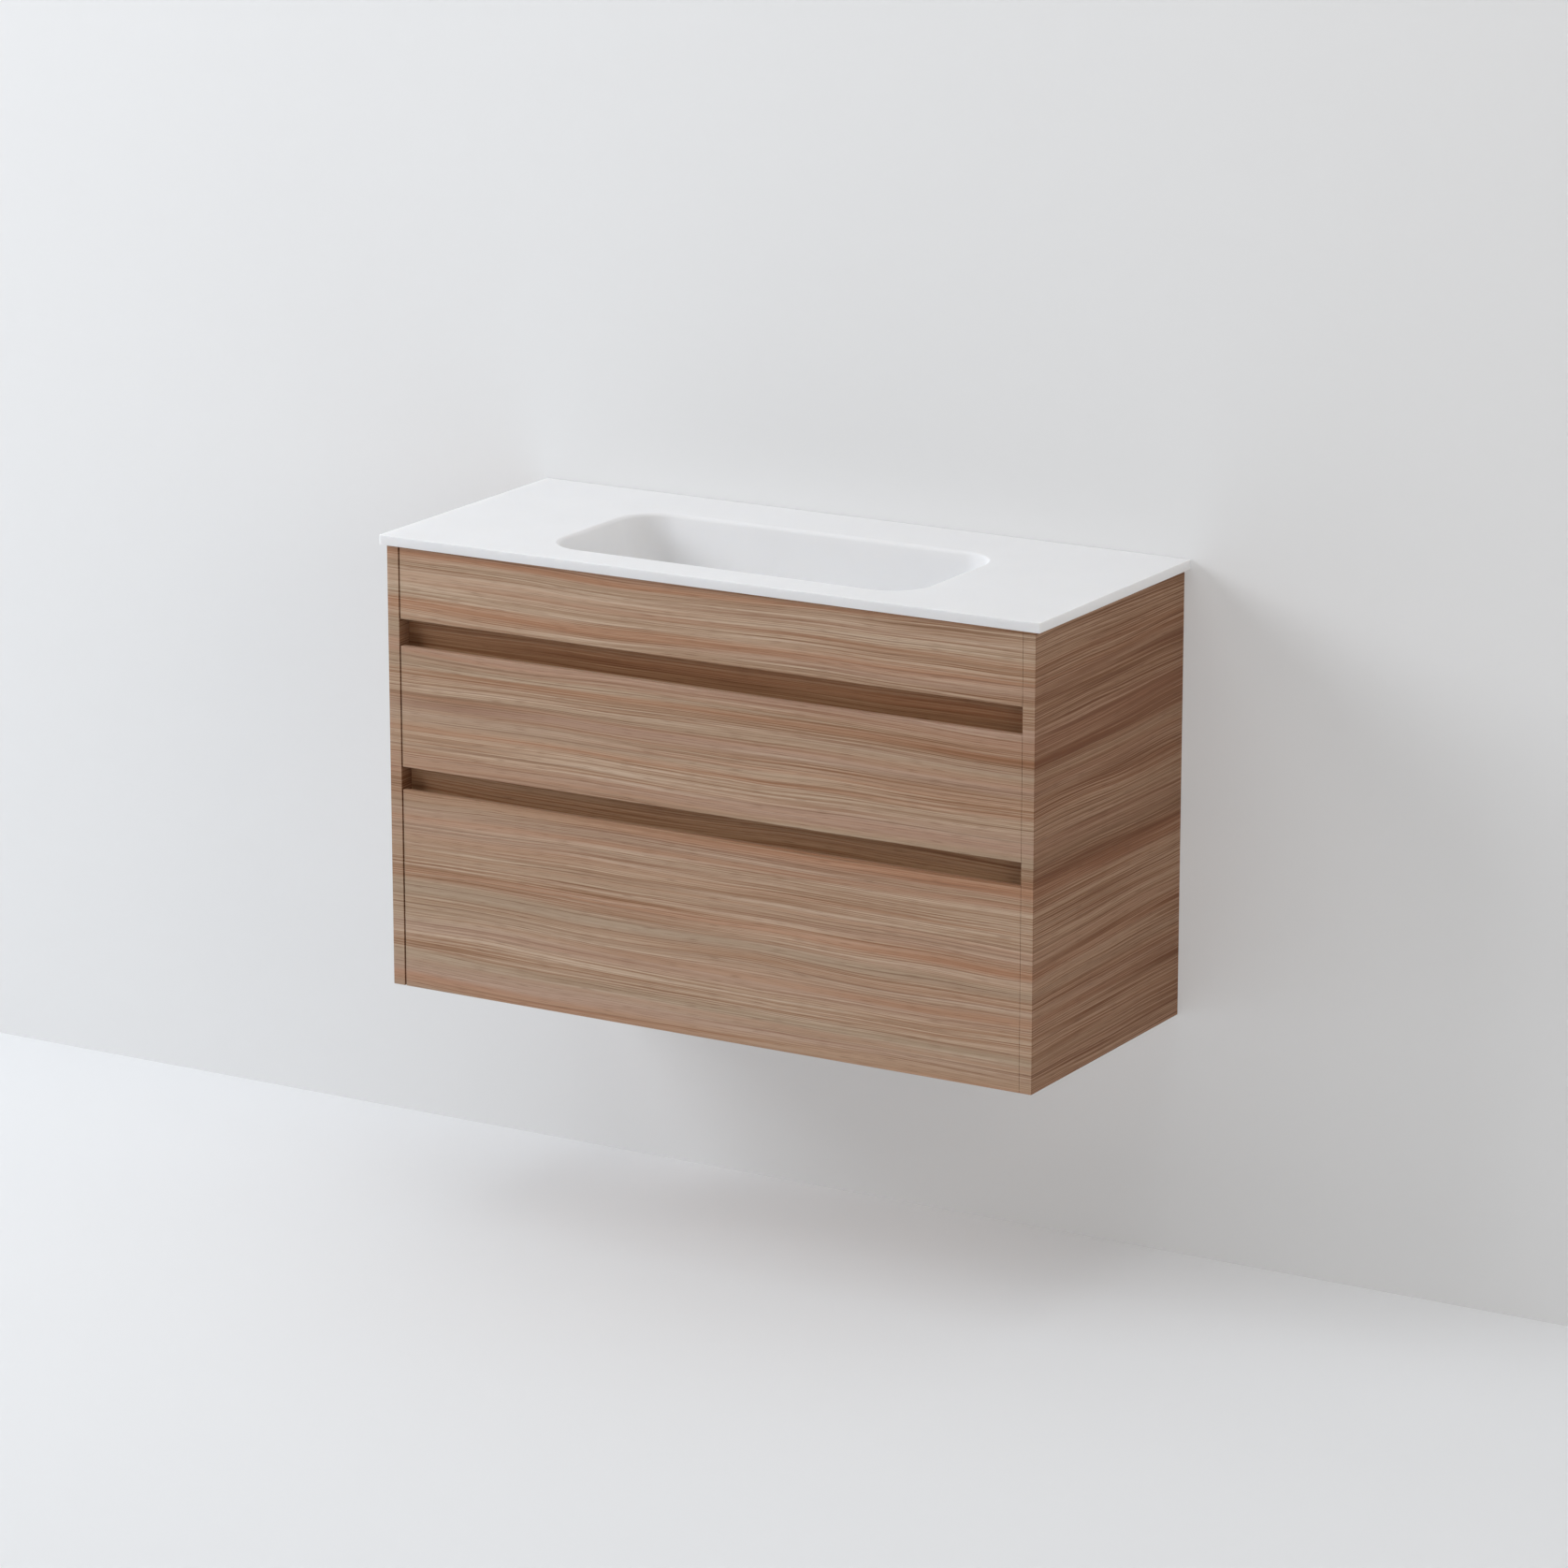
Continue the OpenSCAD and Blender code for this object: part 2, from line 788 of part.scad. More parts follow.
// Drawers -------------------------------------------------------------------------------------

// Heights of the dowels and cams that join a drawer's front to its sides
function dowel_heights(low, high) = [low + box_dowel_edge + bottom_up, high - box_dowel_edge];
function cam_heights(low, high) = [(low + bottom_up + high) / 2];

// The children at the given heights, on the right drawer side's front end. Their +X points
// through the front, and their +Z into the drawer.
module at_front(heights) {
    for (z = heights)
        translate([box_x - box_t / 2, front_back_y, z])
            mirror([1, 0, 0])
                rotate([-90, 0, -90])
                    children();
}

module front_joint_bores(low, high) {
    both_sides() {
        at_front(dowel_heights(low, high))
            dowel(end_gap, fit);
        at_front(cam_heights(low, high))
            cam_bores(box_t);
    }
}

// The wedge off a drawer front's upper back edge, which makes room for the fingers
module grip_bevel(high) {
    fall = grip_bevel_h * (1 + cut / grip_bevel_d);
    translate([-front_x - cut, 0, 0])
        rotate([90, 0, 90])
            linear_extrude(2 * (front_x + cut))
                polygon([[front_back_y - grip_bevel_d, high],
                         [front_back_y - grip_bevel_d, high + cut],
                         [front_back_y + cut, high + cut],
                         [front_back_y + cut, high - fall]]);
}

module drawer_front(low, high, box_low, box_high) {
    color(wood_colour)
        difference() {
            block([-front_x, front_y, low], [front_x, front_back_y, high]);
            grip_bevel(high);
            front_joint_bores(box_low, box_high);
        }
}

// Heights of the screws that join a drawer's back to its sides
function box_screw_heights(low, high) = [low + bottom_up + box_screw_edge, high - box_screw_edge];

// A screw along X whose head is sunk flush into the right drawer side's outer face
module box_screw(z, around = 0, extra = 0) {
    y = back_y + box_t / 2;
    rod_x(box_x - box_screw_l - extra, box_x, y, z, box_screw_r + around);
    translate([box_x - screw_head_h, y, z])
        rotate([0, 90, 0])
            cylinder(r1 = box_screw_r + around, r2 = screw_head_r + around, h = screw_head_h);
}

module box_screws(low, high) {
    color(steel_colour)
        both_sides()
            for (z = box_screw_heights(low, high))
                box_screw(z);
}

module drawer_side(low, high, runner_z) {
    bottom_z = low + bottom_up;
    color(box_colour)
        difference() {
            block([box_in_x, front_back_y, low], [box_x, box_back_y, high]);
            block([box_in_x - cut, front_back_y - cut, bottom_z],
                  [box_in_x + groove_in, box_back_y + cut, bottom_z + bottom_t + run_gap]);
            front_joint_bores(low, high);
            for (z = box_screw_heights(low, high))
                box_screw(z, fit, end_gap);
            for (y = runner_screw_y)
                rod_x(box_x + runner_t - runner_screw_l - end_gap, box_x + cut, y, runner_z,
                      screw_r + fit);
        }
}

// The plate of a drawer bottom, held in the sides' grooves
module bottom_plate(low) {
    bottom_x = box_in_x + groove_in - run_gap;
    block([-bottom_x, front_back_y, low + bottom_up],
          [bottom_x, box_back_y, low + bottom_up + bottom_t]);
}

// A drawer back from x0 to x1, standing on the bottom
module drawer_back(x0, x1, low, high) {
    color(box_colour)
        difference() {
            block([x0, back_y, low + bottom_up + bottom_t], [x1, box_back_y, high]);
            both_sides()
                for (z = box_screw_heights(low, high))
                    box_screw(z, fit, end_gap);
        }
}

module upper_drawer_front() {
    drawer_front(upper_front_low_z, upper_front_z, upper_box_low_z, upper_box_z);
}

module upper_drawer_side_right() {
    drawer_side(upper_box_low_z, upper_box_z, upper_runner_z);
}

module upper_drawer_side_left() {
    mirror([1, 0, 0])
        drawer_side(upper_box_low_z, upper_box_z, upper_runner_z);
}

module upper_drawer_back_right() {
    drawer_back(recess_x, box_in_x, upper_box_low_z, upper_box_z);
}

module upper_drawer_back_left() {
    drawer_back(-box_in_x, -recess_x, upper_box_low_z, upper_box_z);
}

module upper_drawer_bottom() {
    color(box_colour)
        difference() {
            bottom_plate(upper_box_low_z);
            block([-recess_x, recess_y, upper_box_low_z],
                  [recess_x, box_back_y + cut, upper_box_z]);
        }
}

module recess_board_right() {
    color(box_colour)
        block([recess_x, recess_y, upper_box_low_z + bottom_up + bottom_t],
              [recess_x + box_t, back_y, upper_box_z]);
}

module recess_board_left() {
    mirror([1, 0, 0])
        recess_board_right();
}

module recess_board_front() {
    color(box_colour)
        block([-recess_x - box_t, recess_y - box_t, upper_box_low_z + bottom_up + bottom_t],
              [recess_x + box_t, recess_y, upper_box_z]);
}

module lower_drawer_front() {
    drawer_front(base_z, lower_front_z, lower_box_low_z, lower_box_z);
}

module lower_drawer_side_right() {
    drawer_side(lower_box_low_z, lower_box_z, lower_runner_z);
}

module lower_drawer_side_left() {
    mirror([1, 0, 0])
        drawer_side(lower_box_low_z, lower_box_z, lower_runner_z);
}

module lower_drawer_back() {
    drawer_back(-box_in_x, box_in_x, lower_box_low_z, lower_box_z);
}

module lower_drawer_bottom() {
    color(box_colour)
        bottom_plate(lower_box_low_z);
}

module drawer_dowels(low, high) {
    color(dowel_colour)
        both_sides()
            at_front(dowel_heights(low, high))
                dowel();
}

module drawer_cam_bolts(low, high) {
    color(steel_colour)
        both_sides()
            at_front(cam_heights(low, high))
                cam_bolt();
}

module drawer_cam_discs(low, high) {
    color(steel_colour)
        both_sides()
            at_front(cam_heights(low, high))
                cam_disc(box_t);
}

module upper_drawer_dowels() {
    drawer_dowels(upper_box_low_z, upper_box_z);
}

module upper_drawer_cam_bolts() {
    drawer_cam_bolts(upper_box_low_z, upper_box_z);
}

module upper_drawer_cam_discs() {
    drawer_cam_discs(upper_box_low_z, upper_box_z);
}

module upper_drawer_box_screws() {
    box_screws(upper_box_low_z, upper_box_z);
}

module lower_drawer_dowels() {
    drawer_dowels(lower_box_low_z, lower_box_z);
}

module lower_drawer_cam_bolts() {
    drawer_cam_bolts(lower_box_low_z, lower_box_z);
}

module lower_drawer_cam_discs() {
    drawer_cam_discs(lower_box_low_z, lower_box_z);
}

module lower_drawer_box_screws() {
    box_screws(lower_box_low_z, lower_box_z);
}

top_slab();
basin_bowl();
side_panel_left();
side_panel_right();
bottom_panel();
fascia();
upper_grip_rail();
lower_grip_rail();
back_rail_upper();
back_rail_lower();
carcass_dowels();
carcass_cam_bolts();
carcass_cam_discs();
fascia_spacers();
fascia_screws();
front_buffers();
waste_body();
flange_seal();
under_seal();
waste_backnut();
plug_cartridge();
waste_plug();
cabinet_member_upper_left();
cabinet_member_upper_right();
cabinet_member_lower_left();
cabinet_member_lower_right();
cabinet_member_screws();
middle_member_upper_left();
middle_member_upper_right();
middle_member_lower_left();
middle_member_lower_right();
upper_drawer_front();
upper_drawer_side_left();
upper_drawer_side_right();
upper_drawer_back_left();
upper_drawer_back_right();
upper_drawer_bottom();
recess_board_left();
recess_board_right();
recess_board_front();
drawer_member_upper_left();
drawer_member_upper_right();
drawer_member_upper_screws();
upper_drawer_dowels();
upper_drawer_cam_bolts();
upper_drawer_cam_discs();
upper_drawer_box_screws();
lower_drawer_front();
lower_drawer_side_left();
lower_drawer_side_right();
lower_drawer_back();
lower_drawer_bottom();
drawer_member_lower_left();
drawer_member_lower_right();
drawer_member_lower_screws();
lower_drawer_dowels();
lower_drawer_cam_bolts();
lower_drawer_cam_discs();
lower_drawer_box_screws();
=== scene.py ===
import json
import math

import bmesh
import bpy
from mathutils import Matrix, Vector


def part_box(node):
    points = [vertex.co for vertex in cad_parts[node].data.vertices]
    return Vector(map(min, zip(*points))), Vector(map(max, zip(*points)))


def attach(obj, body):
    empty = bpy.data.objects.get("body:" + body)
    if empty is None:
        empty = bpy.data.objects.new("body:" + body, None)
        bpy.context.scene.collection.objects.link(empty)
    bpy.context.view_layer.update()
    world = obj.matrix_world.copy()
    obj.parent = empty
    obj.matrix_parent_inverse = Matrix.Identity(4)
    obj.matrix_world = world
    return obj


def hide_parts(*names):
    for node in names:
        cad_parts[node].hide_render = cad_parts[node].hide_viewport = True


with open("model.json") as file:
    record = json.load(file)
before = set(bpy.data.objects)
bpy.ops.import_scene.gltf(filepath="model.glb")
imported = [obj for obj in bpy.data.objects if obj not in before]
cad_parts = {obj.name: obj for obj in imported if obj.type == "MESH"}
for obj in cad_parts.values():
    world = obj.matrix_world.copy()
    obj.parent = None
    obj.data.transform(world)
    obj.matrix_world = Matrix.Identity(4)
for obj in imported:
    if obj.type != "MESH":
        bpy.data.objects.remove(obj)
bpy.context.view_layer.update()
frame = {"nodes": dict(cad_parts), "record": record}

MM = 0.001
UP = Vector((0, 0, 1))
BACK = Vector((0, 1, 0))
BODY_OF = {n: b for b, members in frame["record"]["behaviour"]["bodies"].items() for n in members}


# --- Materials ---

class Graph:
    """The nodes of a material or a world, added one call at a time."""

    def __init__(self, name, kind="materials", shader="Principled BSDF", **values):
        self.owner = getattr(bpy.data, kind).new(name)
        self.owner.use_nodes = True
        self.tree = self.owner.node_tree
        self.shader = self.tree.nodes[shader]
        for socket, value in values.items():
            self.feed(self.shader.inputs[socket.replace("_", " ")], value)
        coords = self.tree.nodes.new("ShaderNodeTexCoord").outputs
        self.place, self.normal = coords["Object"], coords["Normal"]

    def feed(self, socket, value):
        """Links a socket to another one, or sets its value. None leaves it alone."""
        if isinstance(value, bpy.types.NodeSocket):
            self.tree.links.new(value, socket)
        elif value is not None:
            socket.default_value = (*value, 1.0) if socket.type == "RGBA" else value

    def add(self, kind, *inputs, **settings):
        """A node with its inputs in order and its settings by name."""
        node = self.tree.nodes.new("ShaderNode" + kind)
        for key, value in settings.items():
            setattr(node, key, value)
        for socket, value in zip(node.inputs, inputs):
            self.feed(socket, value)
        return node

    def math(self, operation, *inputs):
        return self.add("Math", *inputs, operation=operation).outputs[0]

    def split(self, vector):
        return self.add("SeparateXYZ", vector).outputs

    def noise(self, vector, detail, roughness=0.5, scale=1.0):
        """Noise from about 0.2 to 0.8, with a mean of 0.5."""
        return self.add("TexNoise", vector, None, scale, detail, roughness).outputs["Fac"]

    def stretched_noise(self, axes, sizes, offset, detail):
        """Noise whose features have the given size in metres along each axis."""
        x, y, z = [self.math("DIVIDE", axis, size) for axis, size in zip(axes, sizes)]
        place = self.add("CombineXYZ", x, y, self.math("ADD", z, offset))
        return self.noise(place.outputs[0], detail)

    def remap(self, value, low, high, out_low=0.0, out_high=1.0, smooth=True):
        kind = "SMOOTHSTEP" if smooth else "LINEAR"
        node = self.add("MapRange", value, low, high, out_low, out_high, interpolation_type=kind)
        return node.outputs[0]

    def ramp(self, value, stops):
        """A colour ramp through (position, (r, g, b)) stops."""
        node = self.add("ValToRGB", value)
        ramp = node.color_ramp
        while len(ramp.elements) < len(stops):
            ramp.elements.new(0.5)
        for element, (position, colour) in zip(ramp.elements, stops):
            element.position = position
            element.color = (*colour, 1.0)
        return node.outputs[0]

    def blend(self, factor, first, second, mode="MIX"):
        """Two colours mixed. Each is a socket or an (r, g, b) tuple."""
        node = self.add("Mix", data_type="RGBA", blend_type=mode)
        for number, value in ((0, factor), (6, first), (7, second)):
            self.feed(node.inputs[number], value)
        return node.outputs[2]

    def paint(self, colour=None, roughness=None, height=None, depth=0.0):
        """Links what varies over the surface to the shader, height as a bump of that depth."""
        self.feed(self.shader.inputs["Base Color"], colour)
        self.feed(self.shader.inputs["Roughness"], roughness)
        if height is not None:
            bump = self.add("Bump", 1.0, depth)
            self.feed(bump.inputs["Height"], height)
            self.feed(self.shader.inputs["Normal"], bump.outputs[0])
        return self.owner


FRONT_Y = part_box("fascia")[0].y     # plane of the fronts
STEEP = 0.7             # a normal's part along an axis, on faces that look that way


def grain_axes(g):
    """Coordinates along and across the level grain, and 1 on faces that look to a side.

    The grain runs along X on the fronts and turns the corner onto the sides of the cabinet,
    and on upper and lower faces it runs on from the front edge."""
    x, y, z = g.split(g.place)
    nx, _, nz = g.split(g.normal)
    on_side = g.math("GREATER_THAN", g.math("ABSOLUTE", nx), STEEP)
    on_top = g.math("GREATER_THAN", g.math("ABSOLUTE", nz), STEEP)
    depth = g.math("SUBTRACT", y, FRONT_Y)
    turn = g.math("MULTIPLY", g.math("MULTIPLY", depth, g.math("SIGN", x)), on_side)
    along = g.math("ADD", x, turn)
    across = g.math("ADD", z, g.math("MULTIPLY", depth, on_top))
    return along, across, on_side


# The laminate: a beige-brown decor with level grain
WOOD_TONES = ((0.00, (0.209, 0.092, 0.043)), (0.20, (0.297, 0.166, 0.096)),
              (0.50, (0.387, 0.246, 0.159)), (0.80, (0.492, 0.354, 0.250)),
              (1.00, (0.552, 0.411, 0.302)))
WOOD_LINE = (0.194, 0.099, 0.056)
# Stretches of another colour: (colour, seed, size across the grain)
WOOD_TINTS = (((0.443, 0.287, 0.216), 149.0, 0.034), ((0.427, 0.212, 0.120), 151.0, 0.020),
              ((0.400, 0.309, 0.216), 163.0, 0.028))
# Bands of the figure: (size along the grain, size across it, share in the tone)
WOOD_BANDS = ((2.50, 0.100, 0.95), (1.80, 0.038, 0.68), (1.20, 0.014, 0.42), (0.90, 0.0062, 0.29),
              (0.55, 0.0030, 0.38), (0.24, 0.0014, 1.80))
WANDER = 26 * MM        # how far the grain strays, slowly
RIPPLE = 4 * MM         # and quickly
SIDE_PAINTED_SHADE = (0.65, 0.545, 0.468)   # painted shade: the side faces of the sheets are made darker than the fronts
SIDE_CONTRAST = 0.35    # their figure is stronger
SIDE_TINTS = 0.5        # and their stretches of colour are weaker
PLAIN = (1.0, 1.0, 1.0)


# The last two arguments are painted light and shade: factors on the colour of all faces and of
# faces that look to a side, darker below one and lighter above it.
def wood_laminate(name, layer=0.0, tints=0.62, painted_shade=PLAIN, side_painted_light=PLAIN):
    g = Graph(name, Specular_IOR_Level=0.15)
    along, across, on_side = grain_axes(g)

    def streaks(length, height, seed, detail=0.6):
        return g.stretched_noise((along, level, layer), (length, height, 1.0), seed, detail)

    def stray(length, height, seed, detail, reach):
        """Up to half of reach to either side, slowly changing."""
        swing = g.math("SUBTRACT", streaks(length, height, seed, detail), 0.5)
        return g.math("MULTIPLY", swing, reach)

    level = across
    wander, ripple = stray(0.55, 0.16, 3.1, 1.5, WANDER), stray(0.14, 0.040, 8.7, 0.6, RIPPLE)
    level = g.math("ADD", across, g.math("ADD", wander, ripple))
    figure = 0.0
    for number, (length, height, share) in enumerate(WOOD_BANDS):
        figure = g.math("ADD", figure, stray(length, height, 17.3 * (number + 1), 0.6, share))
    gain = g.math("ADD", 1.0, g.math("MULTIPLY", on_side, SIDE_CONTRAST))
    tone = g.math("ADD", 0.5, g.math("MULTIPLY", figure, gain))
    colour = g.ramp(tone, WOOD_TONES)
    most = g.math("SUBTRACT", tints, g.math("MULTIPLY", on_side, tints * (1 - SIDE_TINTS)))
    for tint, seed, height in WOOD_TINTS:
        amount = g.remap(streaks(1.80, height, seed, 2.0), 0.44, 0.72)
        colour = g.blend(g.math("MULTIPLY", amount, most), colour, tint)
    # Thin growth lines and short pores
    line = g.remap(streaks(0.70, 0.0021, 177.0), 0.59, 0.72, 0.0, 0.42)
    pore = g.remap(streaks(0.030, 0.0009, 191.0), 0.57, 0.73, 0.0, 0.45)
    for mark in (line, pore):
        colour = g.blend(mark, colour, WOOD_LINE)
    # Painted shade and light: the colour of faces that look to a side is multiplied by a factor.
    colour = g.blend(on_side, colour, g.blend(1.0, colour, side_painted_light, "MULTIPLY"))
    # Painted shade: the colour of every face is multiplied by a factor.
    colour = g.blend(1.0, colour, painted_shade, "MULTIPLY")
    height = g.math("SUBTRACT", tone, g.math("MULTIPLY", pore, 0.8))
    return g.paint(colour, g.remap(tone, 0.2, 0.8, 0.52, 0.44), height, 0.05 * MM)


def chipboard(name):
    """The raw core of a board, where no edge band covers it."""
    g = Graph(name, Roughness=0.85, Specular_IOR_Level=0.2)
    flakes = g.add("TexVoronoi", g.place, None, 520.0, distance="CHEBYCHEV").outputs["Color"]
    chips = g.noise(g.place, 3.0, 0.6, 240.0)
    tone = g.math("ADD", g.math("MULTIPLY", g.split(flakes)[0], 0.5),
                  g.math("MULTIPLY", chips, 0.5))
    colour = g.ramp(tone, ((0.15, (0.24, 0.16, 0.09)), (0.45, (0.44, 0.32, 0.20)),
                           (0.80, (0.60, 0.47, 0.31))))
    return g.paint(colour, None, tone, 0.25 * MM)


def solid_surface(name):
    """Matt white mineral composite, a little translucent."""
    g = Graph(name, Specular_IOR_Level=0.12, Subsurface_Weight=0.7, Subsurface_Scale=0.010,
              Subsurface_Radius=(1.0, 0.95, 0.9))
    cloud = g.noise(g.place, 2.0, 0.5, 14.0)
    grains = g.noise(g.place, 2.0, 0.6, 900.0)
    colour = g.ramp(cloud, ((0.25, (0.750, 0.751, 0.759)), (0.75, (0.766, 0.767, 0.775))))
    return g.paint(colour, g.remap(grains, 0.3, 0.7, 0.40, 0.50), grains, 0.012 * MM)


def melamine(name):
    """Light grey faced board with a fine woven texture."""
    g = Graph(name, Specular_IOR_Level=0.4)
    x, y, z = g.split(g.place)
    warp = g.stretched_noise((g.math("ADD", x, z), y, z), (0.0009, 0.020, 0.0009), 4.0, detail=1.0)
    weft = g.stretched_noise((x, y, z), (0.020, 0.0011, 0.020), 9.0, detail=1.0)
    weave = g.math("MULTIPLY", g.math("ADD", warp, weft), 0.5)
    cloud = g.noise(g.place, 2.0, 0.5, 9.0)
    tone = g.math("ADD", g.math("MULTIPLY", weave, 0.7), g.math("MULTIPLY", cloud, 0.3))
    colour = g.ramp(tone, ((0.30, (0.560, 0.545, 0.515)), (0.70, (0.660, 0.648, 0.622))))
    return g.paint(colour, g.remap(tone, 0.3, 0.7, 0.55, 0.42), weave, 0.04 * MM)


def rolled_zinc(name):
    """Zinc-plated sheet steel with rolling marks along Y."""
    g = Graph(name, Metallic=1.0, Anisotropic=0.35)
    lines = g.stretched_noise(g.split(g.place), (0.0006, 0.09, 0.0006), 2.0, detail=2.0)
    bloom = g.noise(g.place, 3.0, 0.6, 60.0)
    tone = g.math("ADD", g.math("MULTIPLY", lines, 0.6), g.math("MULTIPLY", bloom, 0.4))
    colour = g.ramp(tone, ((0.30, (0.50, 0.515, 0.535)), (0.70, (0.70, 0.71, 0.72))))
    return g.paint(colour, g.remap(tone, 0.3, 0.7, 0.40, 0.26), lines, 0.01 * MM)


def clouded_metal(name, scale, dark, light, rough, depth):
    """Metal whose colour, roughness and relief follow one noise."""
    g = Graph(name, Metallic=1.0)
    bloom = g.noise(g.place, 3.0, 0.6, scale)
    colour = g.ramp(bloom, ((0.30, dark), (0.70, light)))
    return g.paint(colour, g.remap(bloom, 0.3, 0.7, *rough), bloom, depth)


def plated_steel(name):
    """Bright zinc plating on screws, bolts and cams."""
    dark, light = (0.50, 0.51, 0.53), (0.74, 0.745, 0.755)
    return clouded_metal(name, 420.0, dark, light, (0.38, 0.24), 0.02 * MM)


def chrome(name):
    dark, light = (0.78, 0.79, 0.80), (0.85, 0.86, 0.87)
    return clouded_metal(name, 70.0, dark, light, (0.05, 0.11), 0.004 * MM)


def moulded_plastic(name, colour, rough=0.45):
    g = Graph(name, Specular_IOR_Level=0.45, Subsurface_Weight=0.15, Subsurface_Scale=0.003)
    grain = g.noise(g.place, 2.0, 0.6, 1500.0)
    dull = tuple(0.93 * c for c in colour)
    tint = g.ramp(g.noise(g.place, 2.0, 0.5, 90.0), ((0.3, dull), (0.7, colour)))
    return g.paint(tint, g.remap(grain, 0.3, 0.7, rough - 0.06, rough + 0.06), grain, 0.02 * MM)


def seal_rubber(name):
    g = Graph(name, Specular_IOR_Level=0.3)
    grain = g.noise(g.place, 3.0, 0.6, 1100.0)
    bloom = g.noise(g.place, 2.0, 0.5, 130.0)
    colour = g.ramp(bloom, ((0.3, (0.028, 0.028, 0.030)), (0.7, (0.052, 0.052, 0.055))))
    return g.paint(colour, g.remap(grain, 0.3, 0.7, 0.62, 0.78), grain, 0.03 * MM)


def beech(name):
    g = Graph(name, Specular_IOR_Level=0.3)
    fibre = g.stretched_noise(g.split(g.place), (0.010, 0.0006, 0.0006), 5.0, detail=2.0)
    colour = g.ramp(fibre, ((0.3, (0.50, 0.34, 0.19)), (0.7, (0.70, 0.53, 0.34))))
    return g.paint(colour, g.remap(fibre, 0.3, 0.7, 0.75, 0.6), fibre, 0.05 * MM)


# Painted shade: the side panels' laminate is darker on its faces that look to a side.
WOOD_PAINTED_SIDE_SHADE = wood_laminate("wood_laminate", side_painted_light=SIDE_PAINTED_SHADE)
# Painted light: the fronts' laminate is lighter on its edge faces, so the gap beside the right side
# panel looks lit.
WOOD_FRONT_PAINTED_EDGE_LIGHT = wood_laminate("wood_laminate_front_painted_edge_light", side_painted_light=(1.15, 1.15, 1.15))
# Painted shade: this laminate is darker all over, standing for the shade in the grooves on the grip
# rails, and the bottom panel and back rails share it.
WOOD_INNER_PAINTED_SHADE = wood_laminate("wood_laminate_inner_painted_shade", layer=5.0, tints=0.35, painted_shade=(0.82, 0.66, 0.51))
CORE = chipboard("chipboard_core")
WHITE = solid_surface("solid_surface_white")
BOX_BOARD = melamine("melamine_light_grey")
ZINC = rolled_zinc("rolled_zinc_steel")
STEEL = plated_steel("plated_steel")
CHROME = chrome("polished_chrome")
NATURAL = moulded_plastic("natural_plastic", (0.70, 0.70, 0.68))
BROWN_PLASTIC = moulded_plastic("brown_plastic", (0.13, 0.085, 0.055))
WHITE_PLASTIC = moulded_plastic("white_plastic", (0.80, 0.80, 0.78), 0.35)
RUBBER = seal_rubber("seal_rubber")
BEECH = beech("beech_dowel")


# --- Mesh helpers ---

def solids(node):
    """(middle, size) of each separate solid of a CAD node, in metres."""
    mesh = frame["nodes"][node].data
    leader = {}

    def find(key):
        while leader.setdefault(key, key) != key:
            key = leader[key]
        return key

    keys = [tuple(round(c, 6) for c in v.co) for v in mesh.vertices]
    for polygon in mesh.polygons:
        first = find(keys[polygon.vertices[0]])
        for vertex in polygon.vertices[1:]:
            leader[find(keys[vertex])] = first
    groups = {}
    for key in keys:
        groups.setdefault(find(key), []).append(key)
    boxes = sorted((tuple(map(min, zip(*g))), tuple(map(max, zip(*g)))) for g in groups.values())
    corners = [(Vector(low), Vector(high)) for low, high in boxes]
    return [((low + high) / 2, high - low) for low, high in corners]


def radius_of(node):
    """Radius of a CAD node that is round about an upright axis."""
    low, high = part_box(node)
    return (high.x - low.x) / 2


def new_object(name, data):
    obj = bpy.data.objects.new(name, data)
    bpy.context.scene.collection.objects.link(obj)
    return obj


def finish_piece(name, mesh, nodes, materials, corner=50.0):
    """Makes a mesh the piece that stands for CAD nodes, with crisp corners over that angle."""
    obj = new_object(name, mesh)
    mesh.name = name
    mesh.materials.clear()
    for material in materials:
        mesh.materials.append(material)
    mesh.shade_smooth()
    mesh.set_sharp_from_angle(angle=math.radians(corner))
    even = obj.modifiers.new("even_normals", "WEIGHTED_NORMAL")
    even.keep_sharp = True
    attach(obj, BODY_OF[nodes[0]])
    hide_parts(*nodes)


def mesh_from(bm):
    bmesh.ops.recalc_face_normals(bm, faces=bm.faces)
    mesh = bpy.data.meshes.new("mesh")
    bm.to_mesh(mesh)
    bm.free()
    return mesh


def paint_faces(made, material):
    for face in {f for v in made["verts"] for f in v.link_faces}:
        face.material_index = material


def add_box(bm, low, high, material=0):
    place = Matrix.Translation((low + high) / 2) @ Matrix.Diagonal((*(high - low), 1.0))
    made = bmesh.ops.create_cube(bm, size=1.0, matrix=place)
    paint_faces(made, material)
    return made["verts"]


def stand(point, way):
    """The matrix that turns +Z to a direction and moves the origin to a point."""
    return Matrix.Translation(point) @ UP.rotation_difference(way).to_matrix().to_4x4()


def add_rod(bm, start, end, r0, r1=None, sides=48, material=0):
    """A closed cylinder or cone between two points."""
    way = end - start
    made = bmesh.ops.create_cone(bm, cap_ends=True, segments=sides, radius1=r0,
                                 radius2=r0 if r1 is None else r1, depth=way.length,
                                 matrix=stand((start + end) / 2, way.normalized()))
    paint_faces(made, material)


def carve(mesh, cutter):
    """The mesh less the closed solids of the cutter bmesh."""
    knife = new_object("knife", mesh_from(cutter))
    body = new_object("body", mesh)
    modifier = body.modifiers.new("carve", "BOOLEAN")
    modifier.operation = "DIFFERENCE"
    modifier.solver = "EXACT"
    modifier.use_self = True        # the cutter's solids may overlap
    modifier.object = knife
    bpy.context.view_layer.update()
    graph = bpy.context.evaluated_depsgraph_get()
    result = bpy.data.meshes.new_from_object(body.evaluated_get(graph))
    for obj in (knife, body):
        bpy.data.objects.remove(obj)
    return result


